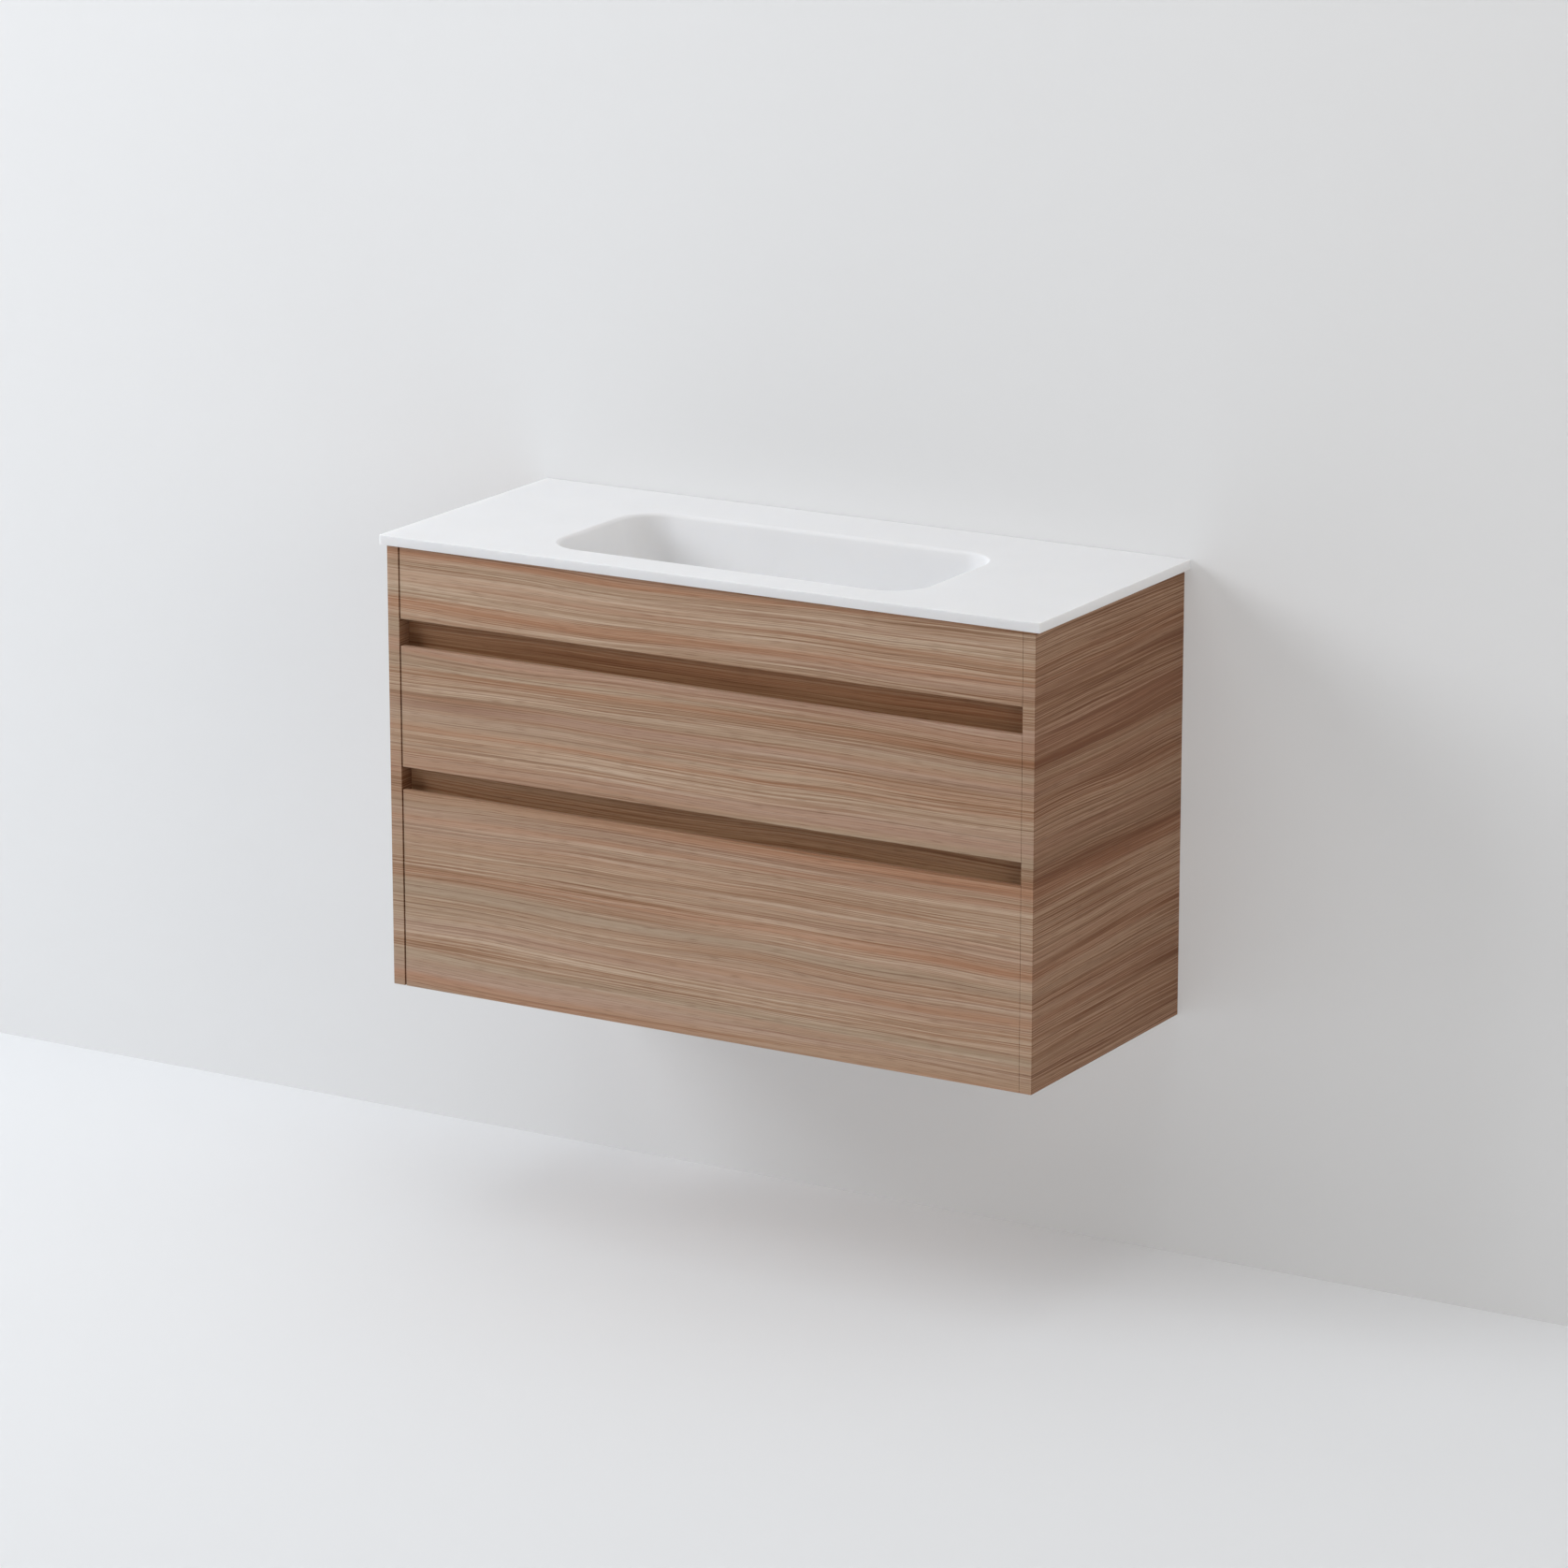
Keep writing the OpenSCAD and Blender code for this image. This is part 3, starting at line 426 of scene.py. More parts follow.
def skin(bm, rings):
    """Faces between each ring of vertices and the next one."""
    for one, two in zip(rings, rings[1:]):
        for k in range(len(one)):
            after = (k + 1) % len(one)
            corners = dict.fromkeys((one[k], one[after], two[after], two[k]))
            if len(corners) > 2:
                bm.faces.new(list(corners))


def lathe(profile, sides, bend=None):
    """A closed bmesh: an outline of (r, z) points turned round Z. bend(r, z, angle) may move
    each point. A point with no radius becomes one vertex."""
    bm = bmesh.new()
    rings = []
    for r, z in profile:
        if r <= 0:
            rings.append([bm.verts.new((0, 0, z))] * sides)
            continue
        ring = []
        for k in range(sides):
            angle = 2 * math.pi * k / sides
            radius, height = bend(r, z, angle) if bend else (r, z)
            ring.append(bm.verts.new((radius * math.cos(angle), radius * math.sin(angle), height)))
        rings.append(ring)
    open_ends = profile[0][0] <= 0 and profile[-1][0] <= 0
    skin(bm, rings if open_ends else rings + rings[:1])
    return bm


def arc(centre, radius, start, end, steps, squeeze=1.0):
    """Points on an arc in an (r, z) outline, angles in degrees. squeeze scales its height."""
    points = []
    for k in range(steps + 1):
        angle = math.radians(start + (end - start) * k / steps)
        points.append((centre[0] + radius * math.cos(angle),
                       centre[1] + squeeze * radius * math.sin(angle)))
    return points


def corner_curve(before, corner, after, reach, steps):
    """Points on a curve that rounds a corner of a line, touching it at a reach from the corner."""
    start = corner + (before - corner).normalized() * reach
    end = corner + (after - corner).normalized() * reach
    shares = [step / steps for step in range(steps + 1)]
    return [(1 - t) ** 2 * start + 2 * t * (1 - t) * corner + t * t * end for t in shares]


def rounded(outline, radius, steps=3):
    """A closed (r, z) outline with every corner rounded."""
    line = [Vector(point) for point in outline]
    points = []
    for before, corner, after in zip(line[-1:] + line, line, line[1:] + line[:1]):
        reach = min(radius, 0.45 * (before - corner).length, 0.45 * (after - corner).length)
        points += [tuple(point) for point in corner_curve(before, corner, after, reach, steps)]
    return points


# --- Boards ---

ARRIS = 0.5 * MM        # rounding of a board's edges
FRONT_ARRIS = 0.4 * MM  # of the fronts' edges
PLATE_ARRIS = 0.2 * MM  # and of the drawer bottoms' edges
FRONT_REACH = 1.75 * MM  # the fronts close up to the right side panel, as in the photograph
BORE_FIT = 0.05 * MM    # room round a fitting in its bore
SINK_DEPTH = 2.4 * MM   # of a countersink's cone, which starts above the face
SINK_START = 0.2 * MM
LEVEL = 0.01 * MM       # points this close to a face lie in it
FACING = 0.95           # cosine between a face's normal and the way that it looks
CORE_FACE = 1           # material index of what shows the core


def disc_of(size):
    """The axis, radius and height of a disc, from the size of its box."""
    axis = min(range(3), key=lambda k: size[k])
    return axis, size[(axis + 1) % 3] / 2, size[axis]


def add_cam_bores(cutter, node, board_low, board_high):
    """Bores for the cams of a node that lie in one board, open on the face that each touches."""
    for middle, size in solids(node):
        if not all(board_low[k] - MM < middle[k] < board_high[k] + MM for k in range(3)):
            continue
        axis, radius, height = disc_of(size)
        way = Vector((0, 0, 0))
        way[axis] = math.copysign(1, 2 * middle[axis] - board_low[axis] - board_high[axis])
        add_rod(cutter, middle - way * (height / 2 + BORE_FIT), middle + way * (height / 2 + MM),
                radius + BORE_FIT, material=CORE_FACE)


def add_countersink(cutter, face, way, head_r):
    """A cone for a screw head, from a point on a board's face along its outward direction."""
    mouth = face + way * SINK_START
    add_rod(cutter, mouth - way * SINK_DEPTH, mouth, head_r / 2, head_r, material=CORE_FACE)


def grip_slope(node):
    """A point on the bevel behind a drawer front's upper edge, and its outward direction."""
    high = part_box(node)[1]
    points = [v.co for v in frame["nodes"][node].data.vertices]
    land = max(p.y for p in points if high.z - p.z < LEVEL)
    back_top = max(p.z for p in points if high.y - p.y < LEVEL)
    return Vector((0, land, high.z)), Vector((0, high.z - back_top, high.y - land))


def slice_off(bm, place, way):
    """Takes what lies outside a plane off a closed bmesh, and closes it again."""
    made = bmesh.ops.bisect_plane(bm, geom=bm.verts[:] + bm.edges[:] + bm.faces[:],
                                  plane_co=place, plane_no=way, clear_outer=True)
    rim = [part for part in made["geom_cut"] if isinstance(part, bmesh.types.BMEdge)]
    bmesh.ops.contextual_create(bm, geom=rim)


def board(node, material, cuts=None, raw=(), radius=ARRIS, reach=0.0, grip=False):
    """A board with softened edges, in the box of its CAD node.

    cuts(cutter, low, high) adds what is taken out of it. raw lists the outward directions of
    the faces that show the core. reach lengthens it to the right. grip gives it the bevel of a
    drawer front."""
    low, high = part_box(node)
    bm = bmesh.new()
    add_box(bm, low, high + Vector((reach, 0, 0)))
    if grip:
        slice_off(bm, *grip_slope(node))
    bmesh.ops.bevel(bm, geom=bm.edges[:], offset=radius, segments=2, profile=0.5, affect="EDGES")
    for face in bm.faces:
        for way in raw:
            if face.normal.dot(way) > FACING:
                face.material_index = CORE_FACE
    mesh = mesh_from(bm)
    mesh.materials.append(material)
    mesh.materials.append(CORE)
    if cuts:
        cutter = bmesh.new()
        cuts(cutter, low, high)
        mesh = carve(mesh, cutter)
    finish_piece(node + "_board", mesh, [node], (material, CORE))


def carcass_cuts(cutter, low, high):
    add_cam_bores(cutter, "carcass_cam_discs", low, high)


def back_rail_cuts(cutter, low, high):
    """Cam bores, and through holes for the wall fixings."""
    carcass_cuts(cutter, low, high)
    dims = next(m for m in frame["record"]["mounts"] if m["name"] == "wall_fixings")["dims"]
    height = math.copysign(dims["spacing_y_mm"] * MM / 2, low.z)
    for x in (-dims["spacing_x_mm"] * MM / 2, dims["spacing_x_mm"] * MM / 2):
        add_rod(cutter, Vector((x, low.y - MM, height)), Vector((x, high.y + MM, height)),
                dims["hole_r_mm"] * MM, material=CORE_FACE)


def upper_rail_cuts(cutter, low, high):
    """Cam bores, and countersinks for the fascia screws."""
    carcass_cuts(cutter, low, high)
    for middle, size in solids("fascia_screws"):
        face = Vector((middle.x, high.y, middle.z))
        add_countersink(cutter, face, BACK, size.x / 2 + BORE_FIT)


def drawer_side_cuts(drawer):
    """Cam bores, the groove for the bottom and countersinks for the box screws."""
    def cuts(cutter, low, high):
        add_cam_bores(cutter, drawer + "_cam_discs", low, high)
        plate_low, plate_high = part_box(drawer + "_bottom")
        right = low.x > 0
        groove_low = Vector((low.x - MM if right else plate_low.x, low.y - MM, plate_low.z))
        groove_high = Vector((plate_high.x if right else high.x + MM, high.y + MM, plate_high.z))
        add_box(cutter, groove_low, groove_high, CORE_FACE)
        for middle, size in solids(drawer + "_box_screws"):
            if (middle.x > 0) == right:
                face = Vector((high.x if right else low.x, middle.y, middle.z))
                add_countersink(cutter, face, outward(middle), size.z / 2 + BORE_FIT)
    return cuts


def recess_cut(cutter, low, high):
    """The U cut-out round the waste, in the upper drawer's bottom."""
    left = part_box("recess_board_left")[1]
    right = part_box("recess_board_right")[0]
    add_box(cutter, Vector((left.x, right.y, low.z - MM)),
            Vector((right.x, high.y + MM, high.z + MM)), CORE_FACE)


def build_boards():
    for side in ("left", "right"):
        board("side_panel_" + side, WOOD_PAINTED_SIDE_SHADE, raw=(BACK, UP))
    board("fascia", WOOD_FRONT_PAINTED_EDGE_LIGHT, raw=(UP,), radius=FRONT_ARRIS, reach=FRONT_REACH)
    for node in ("upper_drawer_front", "lower_drawer_front"):
        board(node, WOOD_FRONT_PAINTED_EDGE_LIGHT, radius=FRONT_ARRIS, reach=FRONT_REACH, grip=True)
    board("upper_grip_rail", WOOD_INNER_PAINTED_SHADE, upper_rail_cuts, raw=(UP,))
    board("lower_grip_rail", WOOD_INNER_PAINTED_SHADE, carcass_cuts)
    board("bottom_panel", WOOD_INNER_PAINTED_SHADE, carcass_cuts, raw=(BACK,))
    for node in ("back_rail_upper", "back_rail_lower"):
        board(node, WOOD_INNER_PAINTED_SHADE, back_rail_cuts, raw=(UP, -UP))
    for drawer in ("upper_drawer", "lower_drawer"):
        for side in ("left", "right"):
            board(f"{drawer}_side_{side}", BOX_BOARD, drawer_side_cuts(drawer))
    board("upper_drawer_bottom", BOX_BOARD, recess_cut, radius=PLATE_ARRIS)
    board("lower_drawer_bottom", BOX_BOARD, radius=PLATE_ARRIS)
    for node in ("upper_drawer_back_left", "upper_drawer_back_right", "lower_drawer_back",
                 "recess_board_left", "recess_board_right", "recess_board_front"):
        board(node, BOX_BOARD)


# --- Basin top ---

CORNER_STEPS, LONG_STEPS, SHORT_STEPS = 16, 14, 8   # of a ring, seen from above
ROUND_STEPS, WALL_STEPS, BEAD_STEPS, EDGE_STEPS = 12, 6, 4, 3
SHELL_T = 10 * MM       # wall of the bowl
CORNER_R = 48 * MM      # corners of the bowl, seen from above
WALL_SLOPE = 18         # degrees by which the bowl's walls lean out
FALL = 3 * MM           # by which the floor falls to the waste
FLOOR_R = 30 * MM       # round between the floor and the walls
UNDER_R = 26 * MM       # and the same on the outside
RIM_W, RIM_H = 5 * MM, 6 * MM
SLAB_ARRIS = 0.5 * MM
SLAB_CORNER_R = 1.1 * MM
BEAD_R = 3 * MM         # bead of adhesive under the slab, and round where the boss meets the bowl


def mix(one, two, share):
    return (one[0] + (two[0] - one[0]) * share, one[1] + (two[1] - one[1]) * share)


def between(one, two, share):
    return [mix(a, b, share) for a, b in zip(one, two)]


def turns(steps, first=1, start=0, end=90):
    """(sine, cosine) at even steps of an angle in degrees."""
    angles = [math.radians(start + (end - start) * k / steps) for k in range(first, steps + 1)]
    return [(math.sin(angle), math.cos(angle)) for angle in angles]


def inset_ring(low, high, inset, radius):
    """Points round a box seen from above, drawn in by an inset, with round corners."""
    left, right = low.x + inset + radius, high.x - inset - radius
    front, back = low.y + inset + radius, high.y - inset - radius
    centres = ((right, front), (right, back), (left, back), (left, front))
    turned = [arc(centre, radius, 90 * k - 90, 90 * k, CORNER_STEPS)
              for k, centre in enumerate(centres)]
    points = []
    for k, steps in enumerate((SHORT_STEPS, LONG_STEPS, SHORT_STEPS, LONG_STEPS)):
        here, there = turned[k][-1], turned[(k + 1) % 4][0]
        points += turned[k] + [mix(here, there, step / steps) for step in range(1, steps)]
    return points


def basin_rings():
    """Closed rings of (points, z) over the whole skin of the slab and bowl, from the bore out."""
    slab_low, slab_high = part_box("top_slab")
    shell_low, shell_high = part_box("basin_bowl")
    seal_z, waste_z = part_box("flange_seal")[0].z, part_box("waste_body")[1].z
    floor_z = waste_z + FALL
    middle = (shell_low + shell_high) / 2
    flange_r = radius_of("waste_body")
    bore_r, recess_r, boss_r = flange_r - 9 * MM, flange_r + MM, flange_r + 5 * MM
    ease = 0.4 * MM
    foot = 0.6 * MM
    lap = 2 * MM

    def shell(inset, radius):
        return inset_ring(shell_low, shell_high, inset, radius)

    def tub(inset, radius=None):
        return shell(SHELL_T + inset, radius or max(CORNER_R - 0.8 * inset, 20 * MM))

    # A circle has its points at the angles of the points of the bowl
    half = (shell_high - shell_low) / 2 - Vector((SHELL_T, SHELL_T, 0))
    angles = [math.atan2((y - middle.y) / half.y, (x - middle.x) / half.x) for x, y in tub(0)]

    def circle(radius):
        return [(middle.x + radius * math.cos(a), middle.y + radius * math.sin(a)) for a in angles]

    recess = circle(recess_r + ease)
    rings = [(circle(bore_r), shell_low.z), (circle(bore_r), seal_z), (circle(recess_r), seal_z),
             (circle(recess_r), waste_z - ease), (recess, waste_z)]
    # The floor, a round of FLOOR_R and the leaning walls
    sine, cosine = turns(1, end=WALL_SLOPE)[0]
    wall_low, wall_high = floor_z + FLOOR_R * (1 - sine), slab_high.z - RIM_H
    lean = (wall_high - wall_low) * sine / cosine
    toe = lean + FLOOR_R * cosine
    for k, (s, c) in enumerate(turns(ROUND_STEPS), 1):
        rings.append((between(recess, tub(toe), k / ROUND_STEPS), waste_z + FALL * s))
    for s, c in turns(ROUND_STEPS, end=90 - WALL_SLOPE):
        rings.append((tub(toe - FLOOR_R * s), floor_z + FLOOR_R * (1 - c)))
    for k in range(1, WALL_STEPS + 1):
        share = k / WALL_STEPS
        rings.append((tub(lean * (1 - share)), wall_low + (wall_high - wall_low) * share))
    # The rim eases over into the slab
    for s, c in turns(ROUND_STEPS, start=WALL_SLOPE):
        out = RIM_W * (1 - c / cosine)
        rings.append((tub(-out, CORNER_R + out), wall_high + RIM_H * (s - sine) / (1 - sine)))
    rings.append((tub(-RIM_W - lap, CORNER_R + RIM_W + lap), slab_high.z))

    def slab(inset):
        return inset_ring(slab_low, slab_high, inset, max(SLAB_CORNER_R - inset, 0.3 * MM))

    rings.append((slab(SLAB_ARRIS + MM), slab_high.z))
    for s, c in turns(EDGE_STEPS, 0):
        rings.append((slab(SLAB_ARRIS * (1 - s)), slab_high.z - SLAB_ARRIS * (1 - c)))
    for s, c in turns(EDGE_STEPS, 0):
        rings.append((slab(SLAB_ARRIS * (1 - c)), slab_low.z + SLAB_ARRIS * (1 - s)))
    rings.append((slab(SLAB_ARRIS + MM), slab_low.z))
    # Outside of the bowl, with a bead of adhesive under the slab
    outer_r = CORNER_R + SHELL_T
    for s, c in turns(BEAD_STEPS, 0):
        bead = BEAD_R * (1 - s)
        rings.append((shell(-bead, outer_r + bead), slab_low.z - BEAD_R * (1 - c)))
    under_z = floor_z - SHELL_T
    for s, c in turns(ROUND_STEPS, 0):
        inset = UNDER_R * (1 - c)
        rings.append((shell(inset, outer_r - 0.9 * inset), under_z + UNDER_R * (1 - s)))
    flat = rings[-1][0]
    for share in (0.35, 0.7, 1.0):
        rings.append((between(flat, circle(boss_r + BEAD_R), share), under_z))
    for s, c in turns(BEAD_STEPS):
        rings.append((circle(boss_r + BEAD_R * (1 - s)), under_z - BEAD_R * (1 - c)))
    return rings + [(circle(boss_r), shell_low.z + foot), (circle(boss_r - foot), shell_low.z)]


def build_basin_top():
    bm = bmesh.new()
    made = [[bm.verts.new((x, y, z)) for x, y in points] for points, z in basin_rings()]
    skin(bm, made + made[:1])
    finish_piece("basin_top_moulding", mesh_from(bm), ["top_slab", "basin_bowl"], (WHITE,), 60.0)


# --- Screws and cams ---

SCREW_PITCH = 1.8 * MM
RECESS_TAPER = 0.55     # width of a cross recess at its bottom, as a share of that at its top
# Screws: (radius of the shank, radius and height of the head, whether the head is sunk)
PAN_SCREW = (2.0 * MM, 3.6 * MM, 1.6 * MM, False)
SUNK_SCREW = (2.2 * MM, 4.0 * MM, 2.2 * MM, True)


def join_copies(name, unit, places, node, material):
    """Copies of a unit mesh at each matrix, as one piece."""
    bm = bmesh.new()
    for place in places:
        first = len(bm.verts)
        bm.from_mesh(unit)
        bm.verts.ensure_lookup_table()
        bmesh.ops.transform(bm, matrix=place, verts=bm.verts[first:])
    bpy.data.meshes.remove(unit)
    finish_piece(name, mesh_from(bm), [node], (material,), 40.0)


def threaded(radius, depth, pitch, low, high):
    """A bend for lathe that winds a thread round the points between two heights."""
    def bend(r, z, angle):
        if low <= z <= high and r > radius - depth / 2:
            turn = z / pitch - angle / (2 * math.pi)
            wave = 0.5 + 0.5 * math.cos(2 * math.pi * turn)
            ease = min(1.0, (z - low) / pitch, (high - z) / pitch)
            return r - depth * (1 - wave) * max(0.0, ease), z
        return r, z
    return bend


def cross_recess(mesh, top, arm, width, depth):
    """A cross recess sunk into a screw head or cam whose face is at height top."""
    cutter = bmesh.new()
    for turn in (0, 90):
        made = add_box(cutter, Vector((-arm, -width / 2, top - depth)),
                       Vector((arm, width / 2, top + MM)))
        bmesh.ops.rotate(cutter, verts=made, matrix=Matrix.Rotation(math.radians(turn), 3, "Z"))
        for vert in made:
            if vert.co.z < top:
                vert.co.x *= RECESS_TAPER
                vert.co.y *= RECESS_TAPER
    return carve(mesh, cutter)


def screw_unit(length, radius, head_r, head_h, sunk):
    """A cross-head screw: its head's face at z = 0 and its tip at -length."""
    tip = 3 * MM
    neck = head_h + 0.6 * MM
    run = length - neck - tip
    steps = max(8, int(run / SCREW_PITCH * 6))
    if sunk:
        head = [(0, 0), (head_r - 0.2 * MM, 0), (head_r, -0.15 * MM), (radius, -head_h)]
    else:
        head = [(0, 0)] + arc((0, -head_h), head_r, 75, 12, 6, head_h / head_r)
        head += [(head_r, -head_h + 0.1 * MM), (head_r - 0.1 * MM, -head_h), (radius, -head_h)]
    shank = [(radius, -neck - run * k / steps) for k in range(steps + 1)]
    outline = head + shank + [(0.25 * MM, -length + 0.2 * MM), (0, -length)]
    bend = threaded(radius, 0.5 * MM, SCREW_PITCH, -length + tip, -neck)
    mesh = mesh_from(lathe(outline, 24, bend))
    return cross_recess(mesh, 0.0, 0.55 * head_r, 0.9 * MM, 1.3 * MM)


def build_screws(node, name, way_of, screw):
    """Screws in the places of a CAD node's solids. way_of(middle) is where the heads face."""
    places = []
    for middle, size in solids(node):
        way = way_of(middle)
        length = abs(size.dot(way))
        places.append(stand(middle + way * length / 2, way))
    join_copies(name, screw_unit(length, *screw), places, node, STEEL)


def inward(middle):
    return Vector((-1 if middle.x > 0 else 1, 0, 0))


def outward(middle):
    return -inward(middle)


def backward(middle):
    return BACK


def cam_unit(radius, height):
    """A die-cast cam with its open face up at z = 0."""
    lip = 0.5 * MM
    outline = [(0, -0.6 * MM), (radius - 1.6 * MM, -0.6 * MM), (radius - 1.3 * MM, 0),
               (radius - 0.4 * MM, 0), (radius, -0.4 * MM), (radius, -4.2 * MM),
               (radius - lip, -4.4 * MM), (radius - lip, -height + 2.0 * MM),
               (radius, -height + 1.8 * MM), (radius, -height + 0.3 * MM),
               (radius - 0.3 * MM, -height), (0, -height)]
    mesh = cross_recess(mesh_from(lathe(outline, 40)), -0.6 * MM, 3.6 * MM, 1.6 * MM, 3.0 * MM)
    cutter = bmesh.new()
    add_box(cutter, Vector((radius - 3.2 * MM, -0.5 * MM, -1.3 * MM)),
            Vector((radius + MM, 0.5 * MM, MM)))
    return carve(mesh, cutter)


def cam_way(axis, middle):
    """Cams open into the drawers, up in the bottom panel, and inside the cabinet in the rails."""
    if axis == 0:
        return inward(middle)
    if axis == 2:
        return UP
    low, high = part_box("bottom_panel")
    return BACK if middle.y < (low.y + high.y) / 2 else -BACK


def build_cams(node, name):
    """Cams in the places of a CAD node's solids, their open faces turned as the board's are."""
    places = []
    for middle, size in solids(node):
        axis, radius, height = disc_of(size)
        way = cam_way(axis, middle)
        places.append(stand(middle + way * height / 2, way))
    join_copies(name, cam_unit(radius, height), places, node, STEEL)


# --- Runners ---

MEMBER_T = 1.2 * MM     # sheet of the runners
MEMBER_BEND = 1.9 * MM  # reach of its bends, along the middle of the sheet
BEND_STEPS = 4
SLOT_SHARES = (0.06, 0.22, 0.34, 0.66, 0.78, 0.94)
SLOT_R = 2.2 * MM
SLOT_HALF = 3.0 * MM    # from a slot's middle to the centres of its round ends


def bent_strip(points, thickness, reach):
    """A closed outline of a sheet of that thickness bent along a line of (u, z) points."""
    corners = [Vector(point) for point in points]
    line = corners[:1]
    for before, corner, after in zip(corners, corners[1:], corners[2:]):
        line += corner_curve(before, corner, after, reach, BEND_STEPS)
    line += corners[-1:]
    sides = ([], [])
    for k, point in enumerate(line):
        way = (line[min(k + 1, len(line) - 1)] - line[max(k - 1, 0)]).normalized()
        normal = Vector((-way.y, way.x))
        sides[0].append(point + normal * thickness / 2)
        sides[1].append(point - normal * thickness / 2)
    return sides[0] + sides[1][::-1]


def build_member(node, web_at_panel):
    """A runner member: bent sheet along Y with slots in its web."""
    low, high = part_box(node)
    reach, half = high.x - low.x, (high.z - low.z) / 2 - MEMBER_T / 2
    middle_z = (high.z + low.z) / 2
    web_x, into = (high.x, -1) if (low.x > 0) == web_at_panel else (low.x, 1)
    # u runs from the web to the ends of the flanges
    outline = bent_strip([(reach, half), (MEMBER_T / 2, half), (MEMBER_T / 2, -half),
                          (reach, -half)], MEMBER_T, MEMBER_BEND)
    bm = bmesh.new()
    ends = [[bm.verts.new((web_x + into * p.x, y, middle_z + p.y)) for p in outline]
            for y in (low.y, high.y)]
    skin(bm, ends)
    bm.faces.new(ends[0])
    bm.faces.new(ends[1][::-1])
    cutter = bmesh.new()
    across, along = Vector((3 * MM, 0, 0)), SLOT_HALF * BACK
    for share in SLOT_SHARES:
        slot = Vector((web_x, low.y + share * (high.y - low.y), middle_z))
        for end in (slot - along, slot + along):
            add_rod(cutter, end - across, end + across, SLOT_R, sides=20)
        corner = across + along + SLOT_R * UP
        add_box(cutter, slot - corner, slot + corner)
    finish_piece(node + "_channel", carve(mesh_from(bm), cutter), [node], (ZINC,), 40.0)


def build_runners():
    for level in ("upper", "lower"):
        for side in ("left", "right"):
            build_member(f"cabinet_member_{level}_{side}", True)
            build_member(f"middle_member_{level}_{side}", True)
            build_member(f"drawer_member_{level}_{side}", False)


# --- Waste ---

TAIL_HOLE_R = 21 * MM   # hole of the seals and the nut on the waste's tail
TAIL_STEPS = 110
TAIL_PITCH = 2.309 * MM


def finish_turned(name, bm, node, material, corner):
    """Moves a turned piece from the axis x = y = 0 to the waste's axis, and finishes it."""
    low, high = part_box("waste_body")
    middle = (low + high) / 2
    bmesh.ops.translate(bm, verts=bm.verts, vec=(middle.x, middle.y, 0))
    finish_piece(name, mesh_from(bm), [node], (material,), corner)


def build_waste():
    low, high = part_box("waste_body")
    flange_r, cap_r = radius_of("waste_body"), radius_of("waste_plug")
    tail_r = flange_r - 10.5 * MM
    bore_r = tail_r - 3.4 * MM
    tail_top, tail_end = high.z - 3.0 * MM, low.z + 0.8 * MM
    groove_z = low.z + 26 * MM
    outline = arc((flange_r - 0.8 * MM, high.z - 0.8 * MM), 0.8 * MM, 90, -20, 5)
    outline += [(tail_r + 4 * MM, high.z - 1.8 * MM), (tail_r, high.z - 2.2 * MM)]
    for k in range(TAIL_STEPS + 1):
        z = tail_top + (tail_end - tail_top) * k / TAIL_STEPS
        in_groove = groove_z < z < groove_z + 2 * MM
        outline.append((tail_r - (MM if in_groove else 0), z))
    outline += [(tail_r - 0.8 * MM, low.z), (bore_r + 0.4 * MM, low.z), (bore_r, low.z + 0.4 * MM),
                (bore_r, high.z - 3.0 * MM), (bore_r + 1.6 * MM, high.z - 1.2 * MM),
                (cap_r + 0.6 * MM, high.z - 0.7 * MM), (cap_r + 1.2 * MM, high.z)]
    bm = lathe(outline, 72, threaded(tail_r, 0.9 * MM, TAIL_PITCH, low.z + MM, tail_top))
    # The cross that carries the cartridge
    cross_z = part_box("plug_cartridge")[0].z
    for x, y in ((bore_r + MM, 1.5 * MM), (1.5 * MM, bore_r + MM)):
        add_box(bm, Vector((-x, -y, cross_z)), Vector((x, y, cross_z + 5 * MM)))
    finish_turned("waste_body_turned", bm, "waste_body", CHROME, 40.0)


def build_plug():
    low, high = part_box("waste_plug")
    radius = radius_of("waste_plug")
    stem_r = 3 * MM
    under = high.z - 4.5 * MM
    outline = [(0, high.z)]
    for angle in (8, 20, 34, 48, 60):
        s, c = math.sin(math.radians(angle)), math.cos(math.radians(angle))
        outline.append((radius * s, high.z - 1.4 * MM * (1 - c)))
    outline += arc((radius - MM, high.z - 2 * MM), MM, 60, -60, 6)
    outline += [(radius - 2.2 * MM, under + 0.4 * MM), (radius - 3.0 * MM, under), (stem_r, under),
                (stem_r, low.z + 0.4 * MM), (stem_r - 0.4 * MM, low.z), (0, low.z)]
    finish_turned("waste_plug_domed", lathe(outline, 72), "waste_plug", CHROME, 45.0)


def build_seals():
    for node in ("flange_seal", "under_seal"):
        low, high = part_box(node)
        outer = radius_of(node)
        outline = rounded([(TAIL_HOLE_R, low.z), (outer, low.z), (outer, high.z),
                           (TAIL_HOLE_R, high.z)], 0.35 * (high.z - low.z))
        finish_turned(node + "_ring", lathe(outline, 64), node, RUBBER, 60.0)


